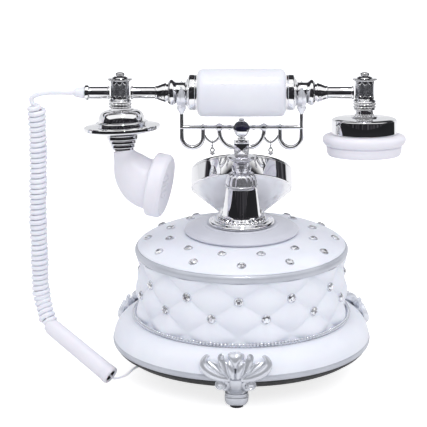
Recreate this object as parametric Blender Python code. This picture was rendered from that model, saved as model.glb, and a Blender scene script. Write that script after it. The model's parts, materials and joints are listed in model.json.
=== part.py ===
"""Ornate cradle telephone: round quilted base on three leaf feet, a chrome column with a tilted dial cup,
a two-forked cradle, and a bar handset with a bent mouthpiece horn and a coiled cord.

Metres, +Z up. The origin is on the ground, under the middle of the whole telephone's box. The dial faces
+Y, and the handset lies along X with its mouthpiece and the cord at -X. Dimensions below are in
millimetres and become metres where a mesh is made.
"""

import math

import bmesh
import bpy
from mathutils import Matrix, Vector

MM = 0.001
WELD = 1e-7
GAP = 0.3

# Facets round a turned piece, by its size
LARGE_ROUND = 32
MEDIUM_ROUND = 20
SMALL_ROUND = 12
TINY_ROUND = 8

# Place of the base's axis in the frame: the cord makes the telephone's box lopsided.
AXIS_X = 19.5
AXIS_Y = 2.9

# Base
RIM_RADIUS = 103.0
DRUM_RADIUS = 84.5
DRUM_TOP_RADIUS = 83.0
WALL = 3.0
PLATE_BOTTOM = 19.0
PLATE_TOP = 22.3
PLATE_FLANGE_TOP = 25.2
RIM_RING_TOP = 30.0
SKIRT_TOP = 48.5
DRUM_TOP = 98.7
DECK_RING_TOP = 105.4
DECK_TOP = 116.9
FOOT_ANGLES = {"front": -2.5, "left": -122.5, "right": 117.5}
FOOT_REACH = 86.0
PAD_RADIUS = 5.5
PAD_TOP = 2.2

# Column, from the pedestal disc up
PEDESTAL_RADIUS = 45.6
PEDESTAL_TOP = 124.0
CAPITAL_BOTTOM = 154.3
CAPITAL_TOP = 179.0
TUBE_RADIUS = 5.0
ROD_RADIUS = 2.5
ROD_CLEARANCE = 0.4

# Dial: a cup whose face leans away from upright
DIAL_RADIUS = 41.2
DIAL_FORWARD = 49.0
DIAL_HEIGHT = 152.7
DIAL_TILT = math.radians(32.0)
FINGER_HOLES = 10
FIRST_HOLE = math.radians(-150.0)
HOLE_STEP = math.radians(30.0)
STOP_ANGLE = math.radians(150.0)

# Cradle
UPRIGHT_X = 47.3
BAR_HEIGHT = 202.4
HOOK_RADIUS = 8.45
HOOK_CENTRE_HEIGHT = 194.4
FORK_BOTTOM = 213.6
BALL_RADIUS = 6.7
BALL_HEIGHT = 201.0
PENDANT_X = 23.1
PENDANT_HEIGHT = 190.2

# Handset: its axis lies along X, and it rests rolled a little about that axis
HANDSET_HEIGHT = 230.5
HANDSET_ROLL = math.radians(6.5)
GRIP_RADIUS = 19.0
GRIP_HALF_LENGTH = 35.0
MOUTH_X = -95.5
EAR_X = 96.8
TEE_RADIUS = 7.8
MOUTH_TILT = math.radians(2.7)
EAR_CAP_RADIUS = 32.3

# Cord
COIL_X = -162.0
COIL_RADIUS = 4.9
CORD_RADIUS = 2.1
COIL_TOP = 221.0
COIL_TURNS = 36

for old_object in list(bpy.data.objects):
    bpy.data.objects.remove(old_object, do_unlink=True)


# ---------------------------------------------------------------- materials

def make_material(name, colour, roughness, metallic=0.0):
    material = bpy.data.materials.new(name)
    material.use_nodes = True
    shader = material.node_tree.nodes["Principled BSDF"]
    shader.inputs["Base Color"].default_value = (*colour, 1.0)
    shader.inputs["Roughness"].default_value = roughness
    shader.inputs["Metallic"].default_value = metallic
    material.diffuse_color = (*colour, 1.0)
    return material


WHITE_RESIN = make_material("white_resin", (0.86, 0.87, 0.92), 0.28)
WHITE_PLASTIC = make_material("white_plastic", (0.86, 0.85, 0.91), 0.18)
SILVER_PAINT = make_material("silver_paint", (0.60, 0.62, 0.67), 0.36, 0.75)
CHROME = make_material("chrome", (0.90, 0.90, 0.92), 0.05, 1.0)
BLACK_PLASTIC = make_material("black_plastic", (0.02, 0.02, 0.02), 0.45)
FELT = make_material("felt", (0.05, 0.05, 0.055), 0.95)
STEEL = make_material("steel", (0.55, 0.56, 0.58), 0.30, 1.0)
BRASS = make_material("brass", (0.78, 0.60, 0.28), 0.30, 1.0)
CIRCUIT_GREEN = make_material("circuit_green", (0.05, 0.25, 0.10), 0.50)


# ---------------------------------------------------------------- building helpers

def empty(name, parent=None, location=(0, 0, 0), rotation=(0, 0, 0)):
    """A frame that pieces are placed in; its location is in millimetres."""
    frame = bpy.data.objects.new(name, None)
    bpy.context.scene.collection.objects.link(frame)
    frame.parent = parent
    frame.location = Vector(location) * MM
    frame.rotation_euler = rotation
    return frame


def place(name, mesh, parent, material=None, location=(0, 0, 0), rotation=(0, 0, 0)):
    """A mesh as a named piece in a parent's frame; its location is in millimetres."""
    piece = bpy.data.objects.new(name, mesh)
    bpy.context.scene.collection.objects.link(piece)
    piece.parent = parent
    piece.location = Vector(location) * MM
    piece.rotation_euler = rotation
    if material:
        mesh.materials.append(material)
    return piece


def finished(shape, name):
    """A bmesh as mesh data with its faces out and its round faces smooth."""
    bmesh.ops.remove_doubles(shape, verts=shape.verts, dist=WELD)
    bmesh.ops.recalc_face_normals(shape, faces=shape.faces)
    mesh = bpy.data.meshes.new(name)
    shape.to_mesh(mesh)
    shape.free()
    mesh.shade_smooth()
    mesh.set_sharp_from_angle(angle=math.radians(35))
    return mesh


def rounded(profile, steps=2):
    """Turns corners given as (radius, height, setback) into short curves."""
    points = []
    count = len(profile)
    for index, corner in enumerate(profile):
        here = Vector(corner[:2])
        if len(corner) == 2:
            points.append(tuple(here))
            continue
        before = Vector(profile[index - 1][:2])
        after = Vector(profile[(index + 1) % count][:2])
        start = here + (before - here).normalized() * corner[2]
        end = here + (after - here).normalized() * corner[2]
        for step in range(steps + 1):
            t = step / steps
            point = start * (1 - t) ** 2 + here * 2 * t * (1 - t) + end * t ** 2
            points.append(tuple(point))
    return points


def turned(name, profile, segments):
    """A solid turned about Z from a closed profile of (radius, height) points in millimetres."""
    shape = bmesh.new()
    corners = [shape.verts.new((radius * MM, 0, height * MM)) for radius, height in profile]
    pairs = list(zip(corners, corners[1:]))
    if profile[0][0] > 0 or profile[-1][0] > 0:
        pairs.append((corners[-1], corners[0]))
    edges = [shape.edges.new(pair) for pair in pairs]
    bmesh.ops.spin(
        shape, geom=corners + edges, cent=(0, 0, 0), axis=(0, 0, 1),
        angle=math.tau, steps=segments, use_merge=True,
    )
    return finished(shape, name)


def box(name, size, centre):
    """A box, its size and centre in millimetres."""
    shape = bmesh.new()
    bmesh.ops.create_cube(shape, size=MM)
    bmesh.ops.scale(shape, vec=size, verts=shape.verts)
    bmesh.ops.translate(shape, vec=Vector(centre) * MM, verts=shape.verts)
    return finished(shape, name)


def sphere(name, radius, centre, segments=16, rings=10):
    shape = bmesh.new()
    bmesh.ops.create_uvsphere(shape, u_segments=segments, v_segments=rings, radius=radius * MM)
    bmesh.ops.translate(shape, vec=Vector(centre) * MM, verts=shape.verts)
    return finished(shape, name)


def path_frames(points):
    """A direction and two square-on axes at each point of a path, without twist."""
    side = None
    frames = []
    for index, point in enumerate(points):
        ahead = points[min(index + 1, len(points) - 1)]
        behind = points[max(index - 1, 0)]
        direction = (ahead - behind).normalized()
        if side is None:
            side = direction.orthogonal().normalized()
        side = (side - direction * side.dot(direction)).normalized()
        frames.append((point, side, direction.cross(side)))
    return frames


def swept(name, points, radii, sides):
    """A capped round rod along a path of points in millimetres; radii is one number or one per point."""
    points = [Vector(point) for point in points]
    if isinstance(radii, (int, float)):
        radii = [radii] * len(points)
    shape = bmesh.new()
    rings = []
    for (centre, side, up), radius in zip(path_frames(points), radii):
        angles = [math.tau * k / sides for k in range(sides)]
        ring = [centre + (side * math.cos(a) + up * math.sin(a)) * radius for a in angles]
        rings.append([shape.verts.new(corner * MM) for corner in ring])
    for ring, following in zip(rings, rings[1:]):
        for k in range(sides):
            n = (k + 1) % sides
            shape.faces.new((ring[k], ring[n], following[n], following[k]))
    shape.faces.new(rings[0])
    shape.faces.new(rings[-1])
    return finished(shape, name)


def torus(name, ring_radius, wire_radius, ring_segments, wire_segments):
    """A ring about Z."""
    angles = [math.tau * k / wire_segments for k in range(wire_segments)]
    profile = [
        (ring_radius + wire_radius * math.cos(a), wire_radius * math.sin(a)) for a in angles
    ]
    return turned(name, profile, ring_segments)


def add_boolean(piece, operation, tool):
    """Adds a Boolean with a tool object, which is only a helper."""
    tool.hide_render = True
    tool.display_type = "WIRE"
    modifier = piece.modifiers.new(operation.title(), "BOOLEAN")
    modifier.operation = operation
    modifier.solver = "EXACT"
    modifier.object = tool


def bezier(start, start_handle, end_handle, end, count):
    """Points along one Bezier curve."""
    corners = [Vector(corner) for corner in (start, start_handle, end_handle, end)]
    points = []
    for step in range(count + 1):
        t = step / count
        weights = ((1 - t) ** 3, 3 * t * (1 - t) ** 2, 3 * t ** 2 * (1 - t), t ** 3)
        points.append(sum((c * w for c, w in zip(corners, weights)), Vector((0, 0, 0))))
    return points


def arc(centre, radius_across, radius_up, first, last, count):
    """Points of an elliptic arc in the XZ plane, angles in degrees from +X towards +Z."""
    points = []
    for step in range(count + 1):
        a = math.radians(first + (last - first) * step / count)
        points.append((centre[0] + radius_across * math.cos(a), 0, centre[1] + radius_up * math.sin(a)))
    return points


# ---------------------------------------------------------------- base shells

def skirt_radius(height):
    """Outer radius of the bell-shaped skirt at a height between the rim and the drum."""
    rise = (height - RIM_RING_TOP) / (SKIRT_TOP - RIM_RING_TOP)
    return DRUM_RADIUS + 1.5 + (RIM_RADIUS - DRUM_RADIUS - 1.5) * math.sqrt(max(0.0, 1 - rise ** 2))


def make_base_shell(frame):
    """Skirt and drum, one hollow moulding open below and above."""
    steps = 5
    bottom = RIM_RING_TOP + GAP
    curve = []
    for step in range(steps + 1):
        height = SKIRT_TOP - (SKIRT_TOP - bottom) * math.sin(math.radians(90) * step / steps)
        curve.append((skirt_radius(height), height))
    outer = [(DRUM_TOP_RADIUS, DRUM_TOP), (DRUM_RADIUS, SKIRT_TOP + 1)] + curve
    inner = [(radius - WALL, height - WALL * 0.5) for radius, height in reversed(curve[:-1])]
    inner = [(RIM_RADIUS - WALL, bottom)] + inner
    inner += [(DRUM_RADIUS - WALL, SKIRT_TOP + 1), (DRUM_TOP_RADIUS - WALL, DRUM_TOP)]
    return place("base_shell", turned("base_shell", outer + inner, LARGE_ROUND), frame, WHITE_RESIN)


def make_base_rings(frame):
    low = PLATE_FLANGE_TOP + GAP
    rim = rounded([
        (RIM_RADIUS - 0.5, RIM_RING_TOP, 1.5), (RIM_RADIUS, 27.5), (RIM_RADIUS - 1.2, low, 0.8),
        (92.0, low), (92.0, RIM_RING_TOP - 3), (RIM_RADIUS - WALL, RIM_RING_TOP - 3),
        (RIM_RADIUS - WALL, RIM_RING_TOP),
    ])
    place("rim_trim_ring", turned("rim_trim_ring", rim, LARGE_ROUND), frame, SILVER_PAINT)
    low = DRUM_TOP + GAP
    deck_ring = rounded([
        (84.6, DECK_RING_TOP, 1.8), (84.6, low, 1.2), (79.0, low), (79.0, DECK_RING_TOP - 2),
        (80.5, DECK_RING_TOP),
    ])
    place("deck_trim_ring", turned("deck_trim_ring", deck_ring, LARGE_ROUND), frame, SILVER_PAINT)
    bead_radius = 1.1
    beads = torus("bead_trim", DRUM_RADIUS + bead_radius + 0.5, bead_radius, LARGE_ROUND, 5)
    place("bead_trim", beads, frame, SILVER_PAINT, location=(0, 0, SKIRT_TOP + bead_radius + 0.7))


def make_top_deck(frame):
    """The white dome over the drum, with a hole for the column tube."""
    hole = TUBE_RADIUS + GAP
    low = DECK_RING_TOP + GAP
    outer = [(20, DECK_TOP), (46, DECK_TOP - 0.4), (59, 115.2), (67, 113.8), (74, 111.6), (80.5, 108.4)]
    edge = [(83.4, low), (80.4, low)]
    inner = [(73, 108.6), (59, 112.2), (46, 113.5), (hole, DECK_TOP - WALL)]
    profile = [(hole, DECK_TOP)] + outer + edge + inner
    place("top_deck", turned("top_deck", profile, LARGE_ROUND), frame, WHITE_RESIN)


def make_bottom_plate(frame):
    """Plate that closes the base, cut for the line jack and for the ringer slider, with a raised flange."""
    profile = [
        (0, PLATE_TOP), (90.5, PLATE_TOP), (91.0, PLATE_FLANGE_TOP), (100.8, PLATE_FLANGE_TOP), (99.4, PLATE_TOP),
        (94.5, PLATE_BOTTOM), (0, PLATE_BOTTOM),
    ]
    plate = place("bottom_plate", turned("bottom_plate", profile, LARGE_ROUND), frame, BLACK_PLASTIC)
    jack_hole = place("jack_hole", box("jack_hole", (14, 12, 8), (30, -62, 20)), frame)
    add_boolean(plate, "DIFFERENCE", jack_hole)
    slot = place("slider_slot", box("slider_slot", (12, 5, 8), (-30, -62, 20)), frame)
    add_boolean(plate, "DIFFERENCE", slot)


def make_foot(name, frame):
    """A leaf foot: a leg under the rim that turns up and fans out over the skirt. It faces -Y."""
    standoff = 0.9
    # height, back radius, front radius, half width
    levels = [
        (PAD_TOP + GAP, 80.0, 92.5, 7.5), (9.0, 80.0, 91.0, 8.0), (14.0, 80.0, 93.5, 9.0),
        (PLATE_BOTTOM - 0.5, 80.0, 101.5, 11.0), (PLATE_BOTTOM - 0.4, 100.0, 103.5, 12.0),
        (PLATE_TOP - 0.1, 100.0, 106.5, 18.0), (PLATE_TOP, RIM_RADIUS + GAP, 106.6, 19.0),
        (26.0, RIM_RADIUS + GAP, 108.0, 24.0),
    ]
    top = SKIRT_TOP - 1.5
    rows = 7
    for row in range(rows):
        share = row / (rows - 1)
        height = RIM_RING_TOP + GAP + (top - RIM_RING_TOP - GAP) * share
        back = skirt_radius(height) + standoff
        half_width = 28.5 * math.cos(math.radians(8 + 68 * share))
        levels.append((height, back, back + 5.0 - 1.5 * share, half_width))
    columns = 6
    shape = bmesh.new()
    grids = []
    for side in (1, 2):
        grid = []
        for level in levels:
            height, radius, half_width = level[0], level[side], level[3]
            row = []
            for k in range(columns + 1):
                angle = (2 * k / columns - 1) * half_width / FOOT_REACH * 0.82
                corner = Vector((radius * math.sin(angle), -radius * math.cos(angle), height))
                row.append(shape.verts.new(corner * MM))
            grid.append(row)
        grids.append(grid)
    back_grid, front_grid = grids
    for grid in grids:
        for low_row, high_row in zip(grid, grid[1:]):
            for k in range(columns):
                shape.faces.new((low_row[k], low_row[k + 1], high_row[k + 1], high_row[k]))
    for k in range(columns):
        for row in (0, -1):
            shape.faces.new((
                back_grid[row][k], back_grid[row][k + 1], front_grid[row][k + 1], front_grid[row][k],
            ))
    for low, high in zip(range(len(levels) - 1), range(1, len(levels))):
        for column in (0, columns):
            shape.faces.new((
                back_grid[low][column], back_grid[high][column],
                front_grid[high][column], front_grid[low][column],
            ))
    place(f"foot_{name}", finished(shape, f"foot_{name}"), frame, SILVER_PAINT)
    pad = turned(f"foot_pad_{name}", [(0, PAD_TOP), (PAD_RADIUS, PAD_TOP), (PAD_RADIUS, 0), (0, 0)], SMALL_ROUND)
    place(f"foot_pad_{name}", pad, frame, FELT, location=(0, -FOOT_REACH, 0))


# ---------------------------------------------------------------- column and dial cup

def column_outline(extra):
    """Outer outline of pedestal, foot, column and capital, top to bottom, grown by extra millimetres."""
    return [
        (11.2 + extra, CAPITAL_TOP), (11.2 + extra, 176.0), (8.6 + extra, 172.0), (8.6 + extra, 164.0),
        (12.8 + extra, 160.0), (12.8 + extra, 150.0), (14.8 + extra, 131.5),
        (17.0 + extra, 131.5), (17.0 + extra, 128.5 + extra), (26.6 + extra, 127.2 + extra),
        (26.6 + extra, PEDESTAL_TOP + extra), (29.5 + extra, PEDESTAL_TOP + extra),
        (38.0 + extra, 123.2 + extra), (43.5 + extra, 121.6 + extra), (PEDESTAL_RADIUS + extra, 119.8),
        (PEDESTAL_RADIUS + extra, 117.0),
    ]


def make_pedestal(frame):
    hole = TUBE_RADIUS + GAP
    low = DECK_TOP + GAP
    profile = [
        (hole, PEDESTAL_TOP), (29.0, PEDESTAL_TOP), (38.0, 122.9), (43.5, 121.2), (45.4, 119.4),
        (PEDESTAL_RADIUS, 118.2), (44.8, low), (hole, low),
    ]
    place("pedestal_disc", turned("pedestal_disc", profile, LARGE_ROUND), frame, SILVER_PAINT)


def make_column(frame):
    """Chrome column with its flared foot; a blind bore takes the clamping tube, and the rod runs through."""
    wide = TUBE_RADIUS + GAP
    narrow = ROD_RADIUS + ROD_CLEARANCE
    low = PEDESTAL_TOP + GAP
    profile = [
        (narrow, 154.0), (12.0, 154.0), (12.3, 153.0), (14.4, 131.5), (16.0, 130.6), (16.2, 129.0),
        (20.0, 127.6), (25.6, 126.8), (26.4, 125.6), (26.2, low), (wide, low), (wide, 150.0),
        (narrow, 150.0),
    ]
    place("column", turned("column", profile, MEDIUM_ROUND), frame, CHROME)
    tube = [
        (TUBE_RADIUS, 149.7), (TUBE_RADIUS, 98.0), (narrow, 98.0), (narrow, 149.7),
    ]
    place("column_tube", turned("column_tube", tube, SMALL_ROUND), frame, STEEL)
    hexagon_bore = wide / math.cos(math.radians(30)) + 0.1
    nut = [(9.0, 113.2), (9.0, 107.0), (hexagon_bore, 107.0), (hexagon_bore, 113.2)]
    place("column_nut", turned("column_nut", nut, 6), frame, BRASS)


def make_capital(frame):
    """Collar ring, fluted dome, leaf cup and bell in one turned casting."""
    narrow = ROD_RADIUS + ROD_CLEARANCE
    low = CAPITAL_BOTTOM
    profile = [
        (narrow, CAPITAL_TOP), (9.6, CAPITAL_TOP), (11.2, 177.8), (10.6, 176.4), (6.4, 173.6),
        (4.6, 172.0), (4.8, 170.6), (8.0, 169.4), (7.8, 167.0), (5.9, 164.8), (9.0, 162.6),
        (11.6, 158.8), (12.8, 157.0), (12.8, 155.0), (12.2, low), (narrow, low),
    ]
    place("column_capital", turned("column_capital", profile, MEDIUM_ROUND), frame, CHROME)


def make_dial_cup(frame, dial_frame):
    """Round cup with a bowl-shaped back that runs into a neck, notched where the column passes."""
    outer = [
        (DIAL_RADIUS, 0), (DIAL_RADIUS, -13.8), (36.0, -20.5), (27.5, -26.5), (20.5, -30.5),
        (18.0, -33.5), (17.6, -46.0), (0, -46.0),
    ]
    inner = [
        (0, -29.0), (16.0, -28.0), (26.0, -23.5), (34.5, -17.5), (DIAL_RADIUS - 2, -12.5),
        (DIAL_RADIUS - 2, 0),
    ]
    profile = outer + inner
    cup = place("dial_cup", turned("dial_cup", profile, LARGE_ROUND), dial_frame, CHROME)
    cutter_outline = column_outline(GAP) + [(PEDESTAL_RADIUS + 20, 117.0), (PEDESTAL_RADIUS + 20, 90.0)]
    cutter_mesh = turned("column_cutter", [(0, CAPITAL_TOP)] + cutter_outline + [(0, 90.0)], LARGE_ROUND)
    cutter = place("column_cutter", cutter_mesh, frame)
    add_boolean(cup, "DIFFERENCE", cutter)


def make_dial_face(dial_frame):
    """Fixed pieces of the dial: bezel, number plate, finger stop and mechanism."""
    bezel = rounded([
        (36.6, 3.2), (DIAL_RADIUS - 1.2, 3.2, 1.4), (DIAL_RADIUS, GAP), (36.6, GAP),
    ])
    place("dial_bezel", turned("dial_bezel", bezel, LARGE_ROUND), dial_frame, CHROME)
    plate_top = -0.4
    bore = 2.9
    plate = [(bore, plate_top), (36.4, plate_top), (36.4, -2.0), (bore, -2.0)]
    place("number_plate", turned("number_plate", plate, MEDIUM_ROUND), dial_frame, WHITE_PLASTIC)
    housing = [(bore, -2.4), (22.0, -2.4), (22.0, -13.0), (bore, -13.0)]
    place("dial_mechanism", turned("dial_mechanism", housing, MEDIUM_ROUND), dial_frame, STEEL)
    out = Vector((math.cos(STOP_ANGLE), math.sin(STOP_ANGLE), 0))
    points = [out * 38.8 + Vector((0, 0, 4.6)), out * 30 + Vector((0, 0, 5.0)),
              out * 20.5 + Vector((0, 0, 4.9))]
    place("finger_stop", swept("finger_stop", points, [1.1, 0.9, 0.9], 8), dial_frame, CHROME)


def make_dial_wheel(wheel_frame):
    """Turning pieces of the dial: finger wheel with its holes, and the capped spindle."""
    rim = 34.5
    wheel = turned("finger_wheel", rounded([
        (3.4, 3.2), (rim - 0.2, 3.2, 0.8), (rim, 1.4, 0.5), (3.4, 1.4),
    ], 1), LARGE_ROUND)
    wheel = place("finger_wheel", wheel, wheel_frame, WHITE_PLASTIC)
    holes = bmesh.new()
    for hole in range(FINGER_HOLES):
        angle = FIRST_HOLE + HOLE_STEP * hole
        turn = Matrix.Translation(Vector((26.0 * math.cos(angle), 26.0 * math.sin(angle), 2.3)) * MM)
        bmesh.ops.create_cone(
            holes, cap_ends=True, segments=12, radius1=5.6 * MM, radius2=5.6 * MM,
            depth=6 * MM, matrix=turn,
        )
    add_boolean(wheel, "DIFFERENCE", place("finger_holes", finished(holes, "finger_holes"), wheel_frame))
    spindle = [
        (0, 6.2), (7.0, 5.9), (12.5, 4.9), (13.4, 3.9), (13.4, 3.5), (3.1, 3.5), (3.1, 0.4),
        (2.5, 0.3), (2.5, -13.6), (0, -13.6),
    ]
    place("dial_spindle", turned("dial_spindle", spindle, SMALL_ROUND), wheel_frame, CHROME)


# ---------------------------------------------------------------- inside the base

def make_insides(frame):
    """Circuit board, ringer, hook switch under its bracket, and line jack, all on the bottom plate."""
    floor = PLATE_TOP + GAP
    board_low = floor + 3.0
    place("circuit_board", box("circuit_board", (78, 46, 1.6), (0, 44, board_low + 0.8)), frame,
          CIRCUIT_GREEN)
    ringer = [(0, floor + 12), (20.0, floor + 12), (20.0, floor), (0, floor)]
    place("ringer", turned("ringer", ringer, SMALL_ROUND), frame, BLACK_PLASTIC, location=(-48, -10, 0))
    place("hook_switch", box("hook_switch", (20, 10, 24), (0, 0, floor + 12)), frame, BLACK_PLASTIC)
    bracket_top = 60.0
    bracket = place("switch_bracket", box("switch_bracket", (44, 16, bracket_top - floor),
                                          (0, 0, (bracket_top + floor) / 2)), frame, STEEL)
    hollow = box("bracket_hollow", (40, 20, bracket_top - floor), (0, 0, (bracket_top + floor) / 2 - 2))
    add_boolean(bracket, "DIFFERENCE", place("bracket_hollow", hollow, frame))
    guide = [(0, 70), (ROD_RADIUS + ROD_CLEARANCE, 70), (ROD_RADIUS + ROD_CLEARANCE, 50), (0, 50)]
    add_boolean(bracket, "DIFFERENCE", place("bracket_guide", turned("bracket_guide", guide, SMALL_ROUND), frame))
    place("line_jack", box("line_jack", (13.4, 11.4, 12), (30, -62, PLATE_BOTTOM + 6.3)), frame,
          BLACK_PLASTIC)


def make_ringer_slider(frame):
    """Volume slider: a head above the slot and a finger pip that reaches down through it."""
    low = PLATE_TOP + GAP
    slider = place("ringer_slider", box("ringer_slider", (16, 9, 3), (0, 0, low + 1.5)), frame,
                   WHITE_PLASTIC)
    pip = place("slider_pip", box("slider_pip", (5, 4, low + 1 - 17.6), (0, 0, (low + 1 + 17.6) / 2)), frame)
    add_boolean(slider, "UNION", pip)


# ---------------------------------------------------------------- cradle

def make_cradle_centre(frame):
    """Plunger rod with its collar and spring, the post, and the ball on top."""
    post_low = CAPITAL_TOP + GAP
    rod = [
        (0, post_low - 0.1), (ROD_RADIUS, post_low - 0.1), (ROD_RADIUS, 84.0), (5.2, 84.0), (5.2, 82.0),
        (ROD_RADIUS, 82.0), (ROD_RADIUS, 48.0), (0, 48.0),
    ]
    place("plunger_rod", turned("plunger_rod", rod, SMALL_ROUND), frame, STEEL)
    turns, per_turn, low, high = 6, 7, 61.0, 81.0
    coil = []
    for step in range(turns * per_turn + 1):
        angle = math.tau * step / per_turn
        height = low + (high - low) * step / (turns * per_turn)
        coil.append((4.0 * math.cos(angle), 4.0 * math.sin(angle), height))
    place("plunger_spring", swept("plunger_spring", coil, 0.5, 4), frame, STEEL)
    post = [
        (0, 194.0), (3.0, 194.0), (3.3, 192.4), (3.0, 190.8), (5.6, 190.4), (6.1, 189.8),
        (6.1, post_low + 0.4), (5.7, post_low), (0, post_low),
    ]
    place("cradle_post", turned("cradle_post", post, SMALL_ROUND), frame, CHROME)
    ball = [(0, 210.0), (1.8, 209.6), (2.4, 208.6), (2.2, 207.2)]
    for step in range(1, 9):
        angle = math.radians(90 - 19 * step - 6)
        ball.append((BALL_RADIUS * math.cos(angle), BALL_HEIGHT + BALL_RADIUS * math.sin(angle)))
    ball.append((0, BALL_HEIGHT - BALL_RADIUS))
    place("cradle_ball", turned("cradle_ball", ball, SMALL_ROUND), frame, CHROME)


def make_cradle_arm(side_name, side, frame):
    """One arm: upright running into a hook, bar with small balls, arc to the post, wire for the pendant."""
    hook_x = UPRIGHT_X - HOOK_RADIUS
    upright = [(side * UPRIGHT_X, 0, FORK_BOTTOM - GAP)]
    for x, y, z in arc((hook_x, HOOK_CENTRE_HEIGHT), HOOK_RADIUS, HOOK_RADIUS, 0, -180, 10):
        upright.append((side * x, y, z))
    upright.append((side * (UPRIGHT_X - 2 * HOOK_RADIUS), 0, BAR_HEIGHT))
    radii = [2.1, 2.1] + [1.7] * 10 + [1.5]
    arm = place(f"cradle_arm_{side_name}", swept(f"cradle_arm_{side_name}", upright, radii, TINY_ROUND), frame, CHROME)
    inner_ball = 17.6
    arc_foot = (6.6, 186.6)
    bar = [(side * UPRIGHT_X, 0, BAR_HEIGHT), (side * (BALL_RADIUS + GAP + 0.1), 0, BAR_HEIGHT)]
    curve = arc((arc_foot[0], 199.6), inner_ball - arc_foot[0], 199.6 - arc_foot[1], 0, -90, 8)
    curve = [(inner_ball, 0, BAR_HEIGHT)] + curve
    wire = [(29.6, 0, 195.5), (26.6, 0, 191.8), (PENDANT_X, 0, PENDANT_HEIGHT), (19.6, 0, 191.6),
            (16.8, 0, 195.2)]
    rods = {
        "bar": swept("bar", bar, 1.1, 8),
        "arc": swept("arc", [(side * x, y, z) for x, y, z in curve], 1.45, 8),
        "wire": swept("wire", [(side * x, y, z) for x, y, z in wire], 0.55, 6),
        "outer_ball": sphere("outer_ball", 2.3, (side * 30.4, 0, BAR_HEIGHT), TINY_ROUND, 6),
        "inner_ball": sphere("inner_ball", 3.0, (side * inner_ball, 0, BAR_HEIGHT), TINY_ROUND, 6),
        "bead": sphere("bead", 1.7, (side * 9.6, 0, BAR_HEIGHT), TINY_ROUND, 6),
    }
    for name, mesh in rods.items():
        add_boolean(arm, "UNION", place(f"{name}_{side_name}", mesh, frame))


def make_fork(side_name, side, frame):
    """Leaf-shaped fork that holds the handset's neck between two prongs."""
    inner = 9.3
    thickness = 2.6
    middle = inner + thickness / 2
    centre = HANDSET_HEIGHT
    path = []
    for step in range(13):
        angle = math.radians(-90 + 90 * (step - 6) / 6 * 1.0)
        path.append((middle * math.cos(angle), centre + middle * math.sin(angle), 5.8))
    prong = 6.5
    tips = [(middle + 0.6, centre + prong * 0.55, 4.6), (middle + 2.0, centre + prong, 1.4)]
    path = [(-y, z, w) for y, z, w in reversed(tips)] + path + tips
    shape = bmesh.new()
    rings = []
    for index, (y, z, width) in enumerate(path):
        behind = Vector(path[max(index - 1, 0)][:2])
        ahead = Vector(path[min(index + 1, len(path) - 1)][:2])
        direction = (ahead - behind).normalized()
        outward = Vector((direction.y, -direction.x)) * thickness / 2
        ring = []
        for across, out in ((-1, -1), (1, -1), (1, 1), (-1, 1)):
            corner = (side * UPRIGHT_X + across * width / 2, y + out * outward.x, z + out * outward.y)
            ring.append(shape.verts.new(Vector(corner) * MM))
        rings.append(ring)
    for ring, following in zip(rings, rings[1:]):
        for k in range(4):
            n = (k + 1) % 4
            shape.faces.new((ring[k], ring[n], following[n], following[k]))
    shape.faces.new(rings[0])
    shape.faces.new(rings[-1])
    fork = place(f"cradle_fork_{side_name}", finished(shape, "fork"), frame, SILVER_PAINT)
    top = centre - middle
    stem = turned("fork_stem", [(0, top), (3.0, top), (2.9, 216.0), (2.2, FORK_BOTTOM), (0, FORK_BOTTOM)], TINY_ROUND)
    add_boolean(fork, "UNION", place(f"fork_stem_{side_name}", stem, frame, location=(side * UPRIGHT_X, 0, 0)))


def make_pendant(side_name, frame):
    """A ring on the wire, a link and a drop. The frame's origin is on the wire, on the swing axis."""
    ring_radius = 1.5
    ring = torus(f"pendant_{side_name}", ring_radius, 0.35, TINY_ROUND, 5)
    pendant = place(f"pendant_{side_name}", ring, frame, CHROME, location=(0, 0, -0.3),
                    rotation=(0, math.radians(90), 0))
    drop = turned("drop", [
        (0, -1.6), (0.6, -1.9), (0.5, -3.6), (1.1, -4.6), (0.5, -5.6), (0.6, -6.6), (1.5, -8.2),
        (1.5, -9.4), (0.8, -10.5), (0, -10.8),
    ], TINY_ROUND)
    add_boolean(pendant, "UNION", place(f"drop_{side_name}", drop, frame))


# ---------------------------------------------------------------- handset

def along_x(side):
    """Rotation that lays a solid turned about Z along X, its top pointing to the given side."""
    return (0, math.radians(90) * side, 0)


def make_grip(frame):
    bore = 4.3
    grip = rounded([
        (bore, GRIP_HALF_LENGTH), (GRIP_RADIUS, GRIP_HALF_LENGTH, 4.5),
        (GRIP_RADIUS, -GRIP_HALF_LENGTH, 4.5), (bore, -GRIP_HALF_LENGTH),
    ], 3)
    place("grip", turned("grip", grip, MEDIUM_ROUND), frame, WHITE_PLASTIC, rotation=along_x(1))
    rod = [(0, 41.9), (4.0, 41.9), (4.0, -41.9), (0, -41.9)]
    place("tie_rod", turned("tie_rod", rod, SMALL_ROUND), frame, STEEL, rotation=along_x(1))


def make_ferrule_and_stem(side_name, side, tee_x, frame):
    """Chrome ring at the grip's end, then the turned stem: neck, ball ring, bell collar and tube."""
    low = GRIP_HALF_LENGTH + GAP
    ferrule = rounded([(4.3, 42.0), (14.4, 42.0, 0.8), (14.4, low), (4.3, low)])
    place(f"ferrule_{side_name}", turned(f"ferrule_{side_name}", ferrule, MEDIUM_ROUND), frame, CHROME,
          rotation=along_x(side))
    tube_end = abs(tee_x) - TEE_RADIUS - 0.4
    stem = [
        (0, tube_end), (4.7, tube_end), (4.7, 67.5), (5.2, 66.5), (7.6, 60.5), (7.6, 59.0), (6.6, 58.6),
        (9.0, 57.8), (10.4, 55.8), (10.4, 54.4), (9.0, 52.6), (8.3, 51.4), (8.2, 45.2), (9.5, 43.6),
        (11.5, 42.3), (0, 42.3),
    ]
    place(f"stem_{side_name}", turned(f"stem_{side_name}", stem, SMALL_ROUND), frame, CHROME,
          rotation=along_x(side))


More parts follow.
